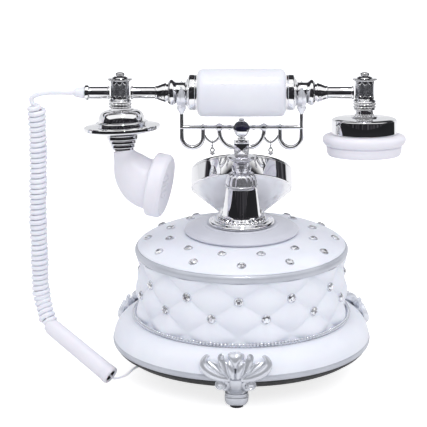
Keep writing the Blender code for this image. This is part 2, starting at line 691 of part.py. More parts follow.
def make_tee(side_name, x, frame):
    """Upright fitting at the stem's end, with its flange, dome and nub above and a collar below."""
    profile = [
        (0, 17.2), (2.6, 16.9), (3.9, 15.8), (3.9, 14.6), (2.8, 13.8), (4.6, 13.2), (7.2, 11.9),
        (9.6, 11.0), (9.6, 10.2), (8.2, 9.2), (TEE_RADIUS, 8.2), (TEE_RADIUS, -5.0), (8.6, -7.2), (9.4, -8.4),
        (9.4, -9.6), (8.6, -10.2), (9.0, -11.0), (8.8, -12.2), (0, -12.2),
    ]
    place(f"tee_{side_name}", turned(f"tee_{side_name}", profile, SMALL_ROUND), frame, CHROME, location=(x, 0, 0))


def make_mouthpiece(frame):
    """Bell disc with its stepped collar, a little tilted, bent horn and round cap with the microphone inside."""
    top = -13.0
    bell = [
        (0, top), (10.4, top), (11.4, -13.6), (15.6, -16.4), (18.2, -20.0), (19.4, -22.8), (21.4, -23.4),
        (21.6, -24.6), (26.0, -26.2), (29.8, -28.4), (30.4, -30.0), (29.6, -32.2), (13.0, -33.0),
        (12.4, -34.0), (12.4, -36.4), (10.8, -37.4), (11.0, -39.6), (9.6, -40.6), (9.8, -43.4),
        (9.0, -45.0), (0, -45.0),
    ]
    place("mouth_bell", turned("mouth_bell", bell, MEDIUM_ROUND), frame, CHROME, location=(MOUTH_X, 0, 0),
          rotation=(0, -MOUTH_TILT, 0))
    facing = Vector((math.cos(math.radians(15)), -math.sin(math.radians(7)), -math.sin(math.radians(15))))
    facing.normalize()
    cap_depth = 13.0
    cap_back = Vector((-72.0, -1.0, -74.5))
    neck = Vector((math.sin(MOUTH_TILT), 0, -math.cos(MOUTH_TILT)))
    start = Vector((MOUTH_X, 0, 0)) + neck * 45.4
    steps = 10
    horn_end = cap_back - facing * (GAP + 1.5)
    path = bezier(start, start + neck * 18, horn_end - facing * 18, horn_end, steps)
    path.append(cap_back - facing * GAP)
    radii = [8.6 + 13.2 * math.sin(math.radians(90) * step / steps) ** 1.3 for step in range(steps + 1)]
    radii.append(radii[-1])
    place("horn", swept("horn", path, radii, SMALL_ROUND), frame, WHITE_PLASTIC)
    turn = facing.to_track_quat("Z", "Y").to_euler()
    rim = 25.5
    cap = rounded([
        (0, cap_depth), (rim - 2.0, cap_depth, 1.0), (rim, cap_depth - 4, 1.0), (rim, 0, 2.0), (17.0, 0),
        (17.0, cap_depth - 3), (0, cap_depth - 3),
    ])
    place("horn_cap", turned("horn_cap", cap, MEDIUM_ROUND), frame, WHITE_PLASTIC, location=cap_back, rotation=turn)
    capsule = [(0, 7.5), (14.0, 7.5), (14.0, 1.0), (0, 1.0)]
    place("microphone", turned("microphone", capsule, SMALL_ROUND), frame, STEEL, location=cap_back, rotation=turn)


def make_earpiece(frame):
    """Chrome cup with its neck, white cap with flange and lip, and the receiver between them."""
    cup = [
        (0, -12.6), (8.2, -12.6), (8.8, -13.4), (7.2, -14.6), (7.2, -18.4), (10.6, -19.6), (10.6, -20.6),
        (22.0, -21.4), (25.2, -22.4), (25.5, -23.4), (25.5, -33.4), (23.0, -33.4), (23.0, -24.5),
        (0, -24.0),
    ]
    place("ear_cup", turned("ear_cup", cup, MEDIUM_ROUND), frame, CHROME, location=(EAR_X, 0, 0))
    low = -51.5
    cap = [
        (23.4, -33.8), (26.5, -33.8), (30.6, -34.8), (EAR_CAP_RADIUS, -37.2), (32.0, -40.6), (29.4, -43.6),
        (28.8, -44.4), (28.8, low + 2.4), (27.4, low + 0.6), (25.6, low), (22.0, low + 1.2), (0, low + 1.8),
        (0, -46.0), (23.4, -46.0),
    ]
    place("ear_cap", turned("ear_cap", cap, MEDIUM_ROUND), frame, WHITE_PLASTIC, location=(EAR_X, 0, 0))
    capsule = [(0, -27.0), (21.0, -27.0), (22.0, -29.0), (22.0, -44.0), (0, -44.0)]
    place("receiver", turned("receiver", capsule, SMALL_ROUND), frame, STEEL, location=(EAR_X, 0, 0))


# ---------------------------------------------------------------- cord

def make_handset_cord(frame):
    """Stub tube beside the mouthpiece tee, and the cord's lead with its strain relief."""
    stub = [
        (0, 28.2), (5.2, 28.2), (6.0, 27.4), (6.0, 25.4), (4.8, 24.4), (4.8, 8.1), (0, 8.1),
    ]
    place("cord_stub", turned("cord_stub", stub, SMALL_ROUND), frame, CHROME, location=(MOUTH_X, 0, 0),
          rotation=along_x(-1))
    start = MOUTH_X - 28.5
    path = [Vector((start, 0, 0)), Vector((start - 6, 0, 0)), Vector((start - 8, 0, 0))]
    bend = bezier((start - 12, 0, 0), (start - 32, 0, 0), (COIL_X - 4, 0, 1), (COIL_X - 3.6, 0, -8), 8)
    path += bend
    radii = [4.3, 3.6, CORD_RADIUS] + [CORD_RADIUS] * len(bend)
    place("cord_lead", swept("cord_lead", path, radii, 8), frame, WHITE_PLASTIC)


def make_base_cord(frame):
    """Coiled cord that hangs beside the base, its moulded sleeve, and the thin tail under the rim."""
    sleeve_top = Vector((-155.0, -10.0, 42.0))
    sleeve_end = Vector((-103.5, -42.0, 9.0))
    down = (sleeve_end - sleeve_top).normalized()
    straight = bezier((COIL_X, 0, COIL_TOP), (COIL_X + 1.5, 0, 170), (COIL_X - 1, 0, 120), (COIL_X, 0, 72), 16)
    bend_end = sleeve_top - down * 3.2
    bend = bezier((COIL_X, 0, 72), (COIL_X, 0, 58), bend_end - down * 10, bend_end, 6)
    frames = path_frames(straight + bend[1:])
    per_turn = 6
    coil = []
    for step in range(COIL_TURNS * per_turn + 1):
        along = step / (COIL_TURNS * per_turn) * (len(frames) - 1)
        index = min(int(along), len(frames) - 2)
        share = along - index
        centre = frames[index][0].lerp(frames[index + 1][0], share)
        side = frames[index][1].lerp(frames[index + 1][1], share).normalized()
        up = frames[index][2].lerp(frames[index + 1][2], share).normalized()
        angle = math.tau * step / per_turn
        coil.append(centre + (side * math.cos(angle) + up * math.sin(angle)) * COIL_RADIUS)
    place("cord_coil", swept("cord_coil", coil, CORD_RADIUS - 0.3, 4), frame, WHITE_PLASTIC)
    length = (sleeve_end - sleeve_top).length
    sleeve = rounded([
        (0, length - 9), (4.6, length - 9), (4.6, length), (7.4, length, 0.8), (7.6, length - 4),
        (7.1, length - 5), (6.8, 8.0), (5.6, 0.0), (0, 0),
    ])
    turn = down.to_track_quat("Z", "Y").to_euler()
    place("cord_sleeve", turned("cord_sleeve", sleeve, SMALL_ROUND), frame, WHITE_PLASTIC, location=sleeve_top,
          rotation=turn)
    tail_start = sleeve_end - down * 7.5
    leaving = Vector((-92.0, -47.0, 12.0))
    tail = bezier(tail_start, sleeve_end + down * 4, leaving, (-84.0, -44.0, 17.4), 8)
    tail.append(Vector((-76.0, -40.0, 17.6)))
    place("cord_tail", swept("cord_tail", tail, 0.9, 6), frame, WHITE_PLASTIC)


# ---------------------------------------------------------------- assembly

def make_telephone():
    base = empty("base_frame", None, (AXIS_X, AXIS_Y, 0))
    make_base_shell(base)
    make_base_rings(base)
    make_top_deck(base)
    make_bottom_plate(base)
    for name, degrees in FOOT_ANGLES.items():
        foot_frame = empty(f"foot_frame_{name}", base, rotation=(0, 0, math.radians(degrees)))
        make_foot(name, foot_frame)
    make_pedestal(base)
    make_column(base)
    make_capital(base)
    make_insides(base)
    make_base_cord(base)

    dial = empty("dial_frame", base, (0, DIAL_FORWARD, DIAL_HEIGHT), (-DIAL_TILT, 0, 0))
    make_dial_cup(base, dial)
    make_dial_face(dial)
    make_dial_wheel(dial)
    make_ringer_slider(empty("slider_frame", base, (-30, -62, 0)))

    cradle = empty("cradle_frame", base)
    make_cradle_centre(cradle)
    for side_name, side in (("left", -1), ("right", 1)):
        make_cradle_arm(side_name, side, cradle)
        make_fork(side_name, side, cradle)
        hanging = empty(f"pendant_frame_{side_name}", cradle, (side * PENDANT_X, 0, PENDANT_HEIGHT))
        make_pendant(side_name, hanging)

    handset = empty("handset_frame", base, (0, 0, HANDSET_HEIGHT), (-HANDSET_ROLL, 0, 0))
    make_grip(handset)
    for side_name, side, tee_x in (("left", -1, MOUTH_X), ("right", 1, EAR_X)):
        make_ferrule_and_stem(side_name, side, tee_x, handset)
        make_tee(side_name, tee_x, handset)
    make_mouthpiece(handset)
    make_earpiece(handset)
    make_handset_cord(handset)


make_telephone()
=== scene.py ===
"""Looks of the ornate cradle telephone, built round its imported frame.

The frame's boxes and joints place the pieces. The cradle's hooks, the feet's legs and the cord's sleeve are
drawn in millimetres from the base's axis and the table instead. Other outlines are (radius, height) pairs in
millimetres in their own piece's frame. Lengths become metres where a mesh is made.
"""

import json
import math

import bmesh
import bpy
import numpy as np
from mathutils import Matrix, Vector


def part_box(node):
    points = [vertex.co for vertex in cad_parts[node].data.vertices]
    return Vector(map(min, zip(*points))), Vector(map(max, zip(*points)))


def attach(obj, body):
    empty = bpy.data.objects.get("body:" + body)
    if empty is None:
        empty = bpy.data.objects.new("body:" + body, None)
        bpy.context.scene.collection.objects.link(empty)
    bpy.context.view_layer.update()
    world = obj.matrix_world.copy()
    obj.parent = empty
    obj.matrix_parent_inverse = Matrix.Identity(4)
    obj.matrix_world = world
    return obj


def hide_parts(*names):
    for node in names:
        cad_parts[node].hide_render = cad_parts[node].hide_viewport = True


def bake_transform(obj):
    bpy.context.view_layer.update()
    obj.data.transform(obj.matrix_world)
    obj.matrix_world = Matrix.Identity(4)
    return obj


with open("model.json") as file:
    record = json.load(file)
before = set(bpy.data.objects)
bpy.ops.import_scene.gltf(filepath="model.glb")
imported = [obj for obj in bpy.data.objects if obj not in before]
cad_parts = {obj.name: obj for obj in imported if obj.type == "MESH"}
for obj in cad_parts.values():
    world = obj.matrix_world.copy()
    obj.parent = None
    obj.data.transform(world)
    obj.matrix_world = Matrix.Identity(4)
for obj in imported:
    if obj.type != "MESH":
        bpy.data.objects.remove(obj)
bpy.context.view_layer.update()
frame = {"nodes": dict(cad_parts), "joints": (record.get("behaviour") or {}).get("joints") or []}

MM = 0.001
WELD = 1e-7

# Handle length, over the radius, that makes four Bezier arcs a circle
CIRCLE_HANDLE = 0.5522847

# Facets round a turned piece, by its size
LARGE = 160
MEDIUM = 96
SMALL = 48
TINY = 24


# ---------------------------------------------------------------- places read from the frame

def low(node):
    """Lowest corner of a CAD node's box, in millimetres."""
    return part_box(node)[0] / MM


def high(node):
    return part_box(node)[1] / MM


def middle(node):
    return (low(node) + high(node)) / 2


def half_width(node):
    return (high(node).x - low(node).x) / 2


def joint(name):
    return next(joint for joint in frame["joints"] if joint["name"] == name)


def at(x, y, z):
    """A frame at a place in millimetres."""
    return Matrix.Translation(Vector((x, y, z)) * MM)


def spun(angle, axis):
    """Rotation about one of a frame's axes, by an angle in radians."""
    return Matrix.Rotation(angle, 4, axis)


def tilted(degrees, axis):
    return spun(math.radians(degrees), axis)


def turned_to(direction):
    """Rotation that points Z along a direction."""
    return Vector((0, 0, 1)).rotation_difference(Vector(direction)).to_matrix().to_4x4()


def polar(reach, angle, height=0.0):
    """A place given by its distance from Z, its angle round Z and its height."""
    return reach * math.cos(angle), reach * math.sin(angle), height


def axis_point(node):
    """Mean of a turned node's distinct corners, which lies on its axis, in millimetres."""
    places = {tuple(round(value, 6) for value in vertex.co) for vertex in frame["nodes"][node].data.vertices}
    return sum((Vector(place) for place in places), Vector()) / len(places) / MM


AXIS = middle("base_shell")
BASE = at(AXIS.x, AXIS.y, 0)
RIM_RADIUS = half_width("rim_trim_ring")
SKIRT_LOW = low("base_shell").z
SKIRT_RISE = 18.2
SKIRT_TOP = SKIRT_LOW + SKIRT_RISE
DRUM_RADIUS = RIM_RADIUS - 18.5
DRUM_TOP_RADIUS = RIM_RADIUS - 20.0
DRUM_TOP = high("base_shell").z
SHELL_WALL = 3.0

DIAL = Matrix.Translation(joint("dial_turn")["pos_m"]) @ turned_to(joint("dial_turn")["axis"])
DIAL_RADIUS = half_width("dial_cup")

ROD_CENTRE = middle("tie_rod")
TO_EAR = axis_point("ear_cup") - ROD_CENTRE
HANDSET_ROLL = math.atan2(-TO_EAR.y, -TO_EAR.z)
HANDSET = at(*ROD_CENTRE) @ spun(-HANDSET_ROLL, "X")
MOUTH_X = middle("tee_left").x - ROD_CENTRE.x
EAR_X = middle("tee_right").x - ROD_CENTRE.x


def in_handset(point):
    """A point in millimetres in the handset's frame."""
    return HANDSET.inverted() @ (point * MM) / MM


TO_BELL = in_handset(axis_point("mouth_bell")) - Vector((MOUTH_X, 0, 0))
MOUTH_TILT = math.atan2(TO_BELL.x, -TO_BELL.z)
MOUTH = HANDSET @ at(MOUTH_X, 0, 0) @ spun(-MOUTH_TILT, "Y")

UPRIGHT_X = middle("cradle_fork_right").x - AXIS.x
BALL_RADIUS = 6.7
BALL_HEIGHT = low("cradle_ball").z + BALL_RADIUS


def standing(node):
    """Frame on the base's axis at the foot of a node."""
    return at(AXIS.x, AXIS.y, low(node).z)


def along_x(side):
    """Rotation that lays a piece turned about Z along X, its top pointing to the given side."""
    return spun(math.radians(90) * side, "Y")


# ---------------------------------------------------------------- materials

def wire(tree, kind, inputs=None, **settings):
    """A shader node with its settings and its inputs, which are values or other nodes' outputs."""
    made = tree.nodes.new(kind)
    for name, value in settings.items():
        setattr(made, name, value)
    for name, value in (inputs or {}).items():
        if isinstance(value, bpy.types.NodeSocket):
            tree.links.new(value, made.inputs[name])
        else:
            made.inputs[name].default_value = value
    return made


def ramp(tree, value, stops):
    """Colours along a value: stops are (position, grey or colour)."""
    made = wire(tree, "ShaderNodeValToRGB", {"Fac": value})
    elements = made.color_ramp.elements
    while len(elements) < len(stops):
        elements.new(0.5)
    for element, (position, colour) in zip(elements, stops):
        element.position = position
        element.color = (*colour, 1.0) if isinstance(colour, tuple) else (colour, colour, colour, 1.0)
    return made.outputs["Color"]


COAT_ROUGHNESS = 0.03


def surface(name, dark, light, roughness, metallic=0.0, mottle=40.0, grain=1500.0, relief=0.03,
            coat=0.0, depth=0.0, crevices=0.0):
    """A finish mottled between two colours, with uneven roughness and a fine grain in relief.
    Crevices is how much the hollows of a dense mesh are darkened and its edges brightened."""
    material = bpy.data.materials.new(name)
    material.use_nodes = True
    tree = material.node_tree
    shader = tree.nodes["Principled BSDF"]
    place = wire(tree, "ShaderNodeTexCoord").outputs["Object"]
    patches = wire(tree, "ShaderNodeTexNoise", {"Vector": place, "Scale": mottle, "Detail": 5.0})
    colour = ramp(tree, patches.outputs["Fac"], [(0.35, dark), (0.65, light)])
    if crevices:
        edges = wire(tree, "ShaderNodeNewGeometry").outputs["Pointiness"]
        shade = ramp(tree, edges, [(0.44, 1.0 - crevices), (0.49, 1.0), (0.56, 1.0), (0.6, 1.15)])
        colour = wire(tree, "ShaderNodeMixRGB", {"Fac": 1.0, "Color1": colour, "Color2": shade},
                      blend_type="MULTIPLY").outputs["Color"]
    smears = wire(tree, "ShaderNodeTexNoise", {"Vector": place, "Scale": mottle * 4, "Detail": 3.0})
    uneven = wire(tree, "ShaderNodeMapRange", {
        "Value": smears.outputs["Fac"], "From Min": 0.3, "From Max": 0.7,
        "To Min": roughness[0], "To Max": roughness[1],
    })
    fine = wire(tree, "ShaderNodeTexNoise", {"Vector": place, "Scale": grain, "Detail": 2.0})
    bump = wire(tree, "ShaderNodeBump", {
        "Height": fine.outputs["Fac"], "Strength": relief, "Distance": 0.0004,
    })
    values = {"Base Color": colour, "Roughness": uneven.outputs["Result"], "Normal": bump.outputs["Normal"]}
    for socket, value in values.items():
        tree.links.new(value, shader.inputs[socket])
    shader.inputs["Metallic"].default_value = metallic
    shader.inputs["Coat Weight"].default_value = coat
    shader.inputs["Coat Roughness"].default_value = COAT_ROUGHNESS
    shader.inputs["Subsurface Weight"].default_value = depth
    shader.inputs["Subsurface Scale"].default_value = 2 * MM
    return material


def dulled(material, shine):
    """Weakens the mirror part of a white finish, so that its edges stay as pale as its middle."""
    material.node_tree.nodes["Principled BSDF"].inputs["Specular IOR Level"].default_value = shine
    return material


def with_flakes(material, amount):
    """Metallic paint: tiny flakes tilt the surface by cells."""
    tree = material.node_tree
    bump = next(node for node in tree.nodes if node.type == "BUMP")
    place = wire(tree, "ShaderNodeTexCoord").outputs["Object"]
    cells = wire(tree, "ShaderNodeTexVoronoi", {"Vector": place, "Scale": 2600.0})
    tilt = wire(tree, "ShaderNodeBump", {
        "Height": cells.outputs["Distance"], "Strength": amount, "Distance": 0.0002,
        "Normal": bump.outputs["Normal"],
    })
    tree.links.new(tilt.outputs["Normal"], tree.nodes["Principled BSDF"].inputs["Normal"])
    return material


def satin_below(material, height):
    """Gives a polished metal a duller, rougher finish under a height in the piece's own frame."""
    tree = material.node_tree
    shader = tree.nodes["Principled BSDF"]
    place = wire(tree, "ShaderNodeTexCoord").outputs["Object"]
    level = wire(tree, "ShaderNodeSeparateXYZ", {"Vector": place}).outputs["Z"]
    brushed = wire(tree, "ShaderNodeTexNoise", {"Vector": place, "Scale": 60.0, "Detail": 2.0}).outputs["Fac"]
    rough = wire(tree, "ShaderNodeMapRange", {
        "Value": brushed, "From Min": 0.3, "From Max": 0.7, "To Min": 0.17, "To Max": 0.20,
    }).outputs["Result"]
    share = wire(tree, "ShaderNodeMath", {0: level, 1: height}, operation="LESS_THAN").outputs[0]
    polished = shader.inputs["Roughness"].links[0].from_socket
    mixed = wire(tree, "ShaderNodeMixRGB", {"Fac": share, "Color1": polished, "Color2": rough})
    tree.links.new(mixed.outputs[0], shader.inputs["Roughness"])
    less_metal = -0.35
    metal = wire(tree, "ShaderNodeMath", {0: share, 1: less_metal}, operation="MULTIPLY_ADD")
    metal.inputs[2].default_value = 1.0
    tree.links.new(metal.outputs[0], shader.inputs["Metallic"])
    return material


def crystal(name):
    """Foil-backed glass stones: each facet mirrors on its own, and its colour, from near black to white by
    the way it faces, is a painted reflection.
    """
    material = surface(name, (0.72, 0.73, 0.78), (0.95, 0.95, 1.0), (0.02, 0.06), metallic=0.65, relief=0.0)
    tree = material.node_tree
    shader = tree.nodes["Principled BSDF"]
    facing = wire(tree, "ShaderNodeNewGeometry").outputs["True Normal"]
    fire = wire(tree, "ShaderNodeTexWhiteNoise", {"Vector": facing})
    # painted reflection: each facet's dark or white colour stands for what the glass would show in it
    painted_facet_glints = ramp(tree, fire.outputs["Value"], [
        (0.0, (0.10, 0.09, 0.11)), (0.22, (0.50, 0.49, 0.55)), (0.45, (0.98, 0.98, 1.0)),
        (0.75, (0.85, 0.90, 0.98)), (1.0, (1.0, 0.97, 0.93)),
    ])
    tree.links.new(painted_facet_glints, shader.inputs["Base Color"])
    shader.inputs["Coat Weight"].default_value = 1.0
    return material


def gem(name, split, blend):
    """Ball of polished enamel over chrome: dark above a height in the ball's frame, mirror below it."""
    material = surface(name, (0.90, 0.90, 0.92), (0.96, 0.96, 0.97), (0.02, 0.05), metallic=1.0, relief=0.0)
    tree = material.node_tree
    mirror = tree.nodes["Principled BSDF"]
    place = wire(tree, "ShaderNodeTexCoord").outputs["Object"]
    height = wire(tree, "ShaderNodeSeparateXYZ", {"Vector": place}).outputs["Z"]
    share = wire(tree, "ShaderNodeMapRange", {
        "Value": height, "From Min": split - blend, "From Max": split + blend, "To Min": 0.0, "To Max": 1.0,
    })
    cloud = wire(tree, "ShaderNodeTexNoise", {"Vector": place, "Scale": 180.0})
    enamel = wire(tree, "ShaderNodeBsdfPrincipled", {
        "Base Color": ramp(tree, cloud.outputs["Fac"], [(0.3, (0.006, 0.006, 0.014)),
                                                        (0.7, (0.02, 0.02, 0.05))]),
        "Roughness": 0.04, "Coat Weight": 0.6,
    })
    both = wire(tree, "ShaderNodeMixShader", {
        0: share.outputs["Result"], 1: mirror.outputs["BSDF"], 2: enamel.outputs["BSDF"],
    })
    tree.links.new(both.outputs["Shader"], tree.nodes["Material Output"].inputs["Surface"])
    return material


def chrome(name, roughness):
    """Bright plating, faintly wavy."""
    return surface(name, (0.90, 0.90, 0.92), (0.95, 0.95, 0.96), roughness, metallic=1.0, grain=220.0,
                   relief=0.012)


MATERIALS = {
    "white_resin": dulled(surface("white_resin_finish", (0.81, 0.83, 0.91), (0.85, 0.87, 0.94), (0.32, 0.42),
                                  grain=900.0, relief=0.05, depth=0.06), 0.25),
    "white_plastic": dulled(surface("white_plastic_finish", (0.79, 0.80, 0.87), (0.83, 0.84, 0.90),
                                    (0.30, 0.38), grain=500.0, relief=0.010, coat=0.25, depth=0.06), 0.15),
    "silver_paint": with_flakes(surface("silver_paint_finish", (0.50, 0.52, 0.58), (0.56, 0.58, 0.64),
                                        (0.30, 0.38), metallic=0.15, coat=0.2, relief=0.03), 0.05),
    "chrome": chrome("chrome_finish", (0.015, 0.05)),
    "black_plastic": surface("black_plastic_finish", (0.012, 0.012, 0.013), (0.022, 0.022, 0.024),
                             (0.38, 0.55), grain=2600.0, relief=0.25),
    "felt": surface("felt_finish", (0.025, 0.025, 0.028), (0.07, 0.07, 0.075), (0.90, 1.0), mottle=900.0,
                    grain=4200.0, relief=0.9),
    "steel": surface("steel_finish", (0.48, 0.49, 0.51), (0.60, 0.61, 0.63), (0.22, 0.38), metallic=1.0,
                     mottle=120.0, relief=0.06),
    "brass": surface("brass_finish", (0.72, 0.53, 0.22), (0.82, 0.64, 0.32), (0.20, 0.34), metallic=1.0,
                     mottle=160.0, relief=0.05),
    "circuit_green": surface("circuit_green_finish", (0.02, 0.16, 0.06), (0.04, 0.26, 0.10), (0.30, 0.45),
                             mottle=420.0, grain=1800.0, relief=0.3, coat=0.3),
}
# Finishes of parts that differ from their slot's plain one
CORD = dulled(surface("cord_finish", (0.84, 0.85, 0.93), (0.88, 0.89, 0.95), (0.30, 0.40), mottle=90.0,
                      relief=0.03, depth=0.08), 0.3)
STONE = crystal("crystal_finish")
CAST = surface("cast_metal_finish", (0.78, 0.78, 0.83), (0.90, 0.90, 0.95), (0.10, 0.20), metallic=0.85,
               mottle=160.0, relief=0.04, coat=0.3, crevices=0.35)
ORNAMENT = surface("ornament_finish", (0.68, 0.70, 0.76), (0.74, 0.76, 0.82), (0.16, 0.24), metallic=0.5,
                   relief=0.01, coat=0.5, crevices=0.3)
# The side feet get a paler paint than the front one only because the photo shows them washed out: that
# paleness is painted light
PAINTED_LIGHT_ORNAMENT = surface("painted_light_ornament_finish", (0.80, 0.82, 0.88), (0.86, 0.88, 0.93), (0.20, 0.28),
                        metallic=0.2, relief=0.01, coat=0.3, crevices=0.3)
FORK_SILVER = surface("fork_finish", (0.84, 0.85, 0.91), (0.90, 0.91, 0.96), (0.12, 0.20), metallic=0.45,
                      mottle=160.0, relief=0.02, coat=0.5, crevices=0.25)
WIRE_CHROME = chrome("wire_chrome_finish", (0.17, 0.25))
PEARL = dulled(surface("pearl_paint_finish", (0.60, 0.61, 0.68), (0.66, 0.67, 0.74), (0.30, 0.38),
                       mottle=25.0, relief=0.02, coat=0.1), 0.25)
SATIN_WHITE = dulled(surface("satin_white_finish", (0.82, 0.81, 0.88), (0.85, 0.84, 0.91), (0.30, 0.38),
                             grain=500.0, relief=0.010, depth=0.06), 0.2)
ENGRAVED = surface("engraved_metal_finish", (0.42, 0.43, 0.47), (0.80, 0.81, 0.86), (0.14, 0.34),
                   metallic=0.92, mottle=260.0, grain=420.0, relief=0.55)
# Height in the dial's frame at which the cup's polished band ends
POLISHED_BAND_FOOT = -14.3
BOWL = satin_below(chrome("cup_finish", (0.015, 0.05)), POLISHED_BAND_FOOT * MM)
INK = surface("dial_ink_finish", (0.02, 0.02, 0.025), (0.05, 0.05, 0.06), (0.35, 0.5), mottle=700.0,
              relief=0.1)


# ---------------------------------------------------------------- mesh helpers

SHARP_ANGLE = math.radians(35.0)


def shaded(mesh):
    """Smooth shading, except over edges sharper than SHARP_ANGLE."""
    mesh.shade_smooth()
    mesh.set_sharp_from_angle(angle=SHARP_ANGLE)
    return mesh


def finished(shape, smooth):
    """Mesh of a bmesh, which is freed."""
    mesh = bpy.data.meshes.new("piece")
    shape.to_mesh(mesh)
    shape.free()
    return shaded(mesh) if smooth else mesh


def mesh_from(points, faces, smooth=True):
    """Mesh from corners in millimetres, welded and with its faces out."""
    shape = bmesh.new()
    corners = [shape.verts.new(Vector(point) * MM) for point in points]
    for face in faces:
        shape.faces.new([corners[index] for index in face])
    bmesh.ops.remove_doubles(shape, verts=shape.verts, dist=WELD)
    bmesh.ops.recalc_face_normals(shape, faces=shape.faces)
    return finished(shape, smooth)


def rounded(profile, steps=5):
    """Turns corners given as (radius, height, setback) into short curves."""
    points = []
    count = len(profile)
    for index, corner in enumerate(profile):
        here = Vector(corner[:2])
        if len(corner) == 2:
            points.append(tuple(here))
            continue
        before = Vector(profile[index - 1][:2])
        after = Vector(profile[(index + 1) % count][:2])
        start = here + (before - here).normalized() * corner[2]
        end = here + (after - here).normalized() * corner[2]
        for step in range(steps + 1):
            t = step / steps
            points.append(tuple(start * (1 - t) ** 2 + here * 2 * t * (1 - t) + end * t ** 2))
    return points


def flowing(points, steps=4):
    """Points on a smooth curve through the given ones, each of any number of values."""
    known = np.array(points, float)
    known = np.vstack([2 * known[0] - known[1], known, 2 * known[-1] - known[-2]])
    curve = []
    for before, start, end, after in zip(known, known[1:], known[2:], known[3:]):
        for step in range(steps):
            t = step / steps
            bend = 2 * before - 5 * start + 4 * end - after
            twist = 3 * start - before - 3 * end + after
            curve.append(tuple(0.5 * (2 * start + (end - before) * t + bend * t ** 2 + twist * t ** 3)))
    curve.append(tuple(known[-2]))
    return curve


def turned(profile, segments=MEDIUM, ripple=None):
    """Mesh turned about Z from (radius, height) points, closed into a ring unless it starts and ends on the
    axis. ripple(angle, radius, height) adds to the radius."""
    closed = profile[0][0] > 0 or profile[-1][0] > 0
    points = []
    for radius, height in profile:
        for step in range(segments):
            angle = math.tau * step / segments
            reach = radius + (ripple(angle, radius, height) if ripple and radius > 0 else 0)
            points.append(polar(reach, angle, height))
    count = len(profile)
    faces = []
    for row in range(count if closed else count - 1):
        following = (row + 1) % count
        for step in range(segments):
            beside = (step + 1) % segments
            face = [row * segments + step, row * segments + beside,
                    following * segments + beside, following * segments + step]
            if profile[row][0] == 0:
                face.pop(1)
            elif profile[following][0] == 0:
                face.pop(2)
            faces.append(face)
    return mesh_from(points, faces)


def lofted(rings, closed=False):
    """Mesh through rings of equally many corners, capped at both ends unless it closes on itself."""
    sides = len(rings[0])
    points = [corner for ring in rings for corner in ring]
    faces = []
    for row in range(len(rings) if closed else len(rings) - 1):
        following = (row + 1) % len(rings)
        for k in range(sides):
            n = (k + 1) % sides
            faces.append((row * sides + k, row * sides + n, following * sides + n, following * sides + k))
    if not closed:
        faces.append(tuple(range(sides)))
        faces.append(tuple(range((len(rings) - 1) * sides, len(rings) * sides)))
    return mesh_from(points, faces)


def neighbours(points, index):
    """The points before and after one on a path, or the point itself at an end."""
    return points[max(index - 1, 0)], points[min(index + 1, len(points) - 1)]


def path_frames(points):
    """A place, its direction and two square-on axes at each point of a path, without twist."""
    side = None
    frames = []
    for index, point in enumerate(points):
        behind, ahead = neighbours(points, index)
        direction = (ahead - behind).normalized()
        if side is None:
            side = direction.orthogonal().normalized()
        side = (side - direction * side.dot(direction)).normalized()
        frames.append((point, side, direction.cross(side)))
    return frames


def swept(points, radii, sides=16):
    """Capped round rod along a path in millimetres; radii is one number or one per point."""
    points = [Vector(point) for point in points]
    if isinstance(radii, (int, float)):
        radii = [radii] * len(points)
    angles = [math.tau * k / sides for k in range(sides)]
    rings = []
    for (centre, side, up), radius in zip(path_frames(points), radii):
        rings.append([centre + (side * math.cos(a) + up * math.sin(a)) * radius for a in angles])
    return lofted(rings)


def bulged(half_wide, half_thick, power=1.0, count=16):
    """Outline of a rounded bar as (across, up) pairs; a power under 1 squares it off."""
    outline = []
    for k in range(count):
        angle = math.tau * k / count
        across, up = math.cos(angle), math.sin(angle)
        outline.append((
            half_wide * math.copysign(abs(across) ** power, across),
            half_thick * math.copysign(abs(up) ** power, up),
        ))
    return outline


def ball(radius, centre=(0, 0, 0), stretch=1.0, segments=TINY, rings=12):
    """A round bead, stretched along Z, as a turned mesh."""
    profile = []
    for step in range(rings + 1):
        angle = math.pi * step / rings
        reach = 0 if step in (0, rings) else radius * math.sin(angle)
        profile.append((reach, radius * stretch * math.cos(angle)))
    mesh = turned(profile, segments)
    mesh.transform(at(*centre))
    return mesh


def hoop(ring_radius, wire_radius, segments=MEDIUM, sides=12):
    """A ring of wire about Z."""
    angles = [math.tau * k / sides for k in range(sides)]
    return turned([(ring_radius + wire_radius * math.cos(a), wire_radius * math.sin(a)) for a in angles],
                  segments)


def joined(meshes, smooth=True):
    """One mesh from several."""
    shape = bmesh.new()
    for mesh in meshes:
        shape.from_mesh(mesh)
        bpy.data.meshes.remove(mesh)
    return finished(shape, smooth)


def copies(mesh, places, smooth=True):
    """One mesh that holds a copy of another at each place."""
    shape = bmesh.new()
    for place in places:
        copy = mesh.copy()
        copy.transform(place)
        shape.from_mesh(copy)
        bpy.data.meshes.remove(copy)
    return finished(shape, smooth)


def linked(name, data):
    """A new object in the scene."""
    thing = bpy.data.objects.new(name, data)
    bpy.context.scene.collection.objects.link(thing)
    return thing


def baked(thing):
    """Mesh of an object with its curve and modifiers worked out. The object is removed."""
    graph = bpy.context.evaluated_depsgraph_get()
    result = bpy.data.meshes.new_from_object(thing.evaluated_get(graph))
    bpy.data.objects.remove(thing)
    return result


def worked(mesh, *modifiers):
    """The mesh as modifiers leave it. Each is (kind, settings)."""
    thing = linked("work", mesh)
    for kind, settings in modifiers:
        modifier = thing.modifiers.new(kind, kind)
        for name, value in settings.items():
            setattr(modifier, name, value)
    return shaded(baked(thing))


def cut(mesh, cutter):
    """The mesh with another cut away from it."""
    tool = linked("tool", cutter)
    result = worked(mesh, ("BOOLEAN", {"operation": "DIFFERENCE", "solver": "EXACT", "object": tool}))
    bpy.data.objects.remove(tool)
    return result


def drills(places, radius, depth):
    """Cutters for round holes, each standing along its place's Z."""
    drill = turned([(0, depth), (radius, depth), (radius, -depth), (0, -depth)], TINY)
    return copies(drill, places)


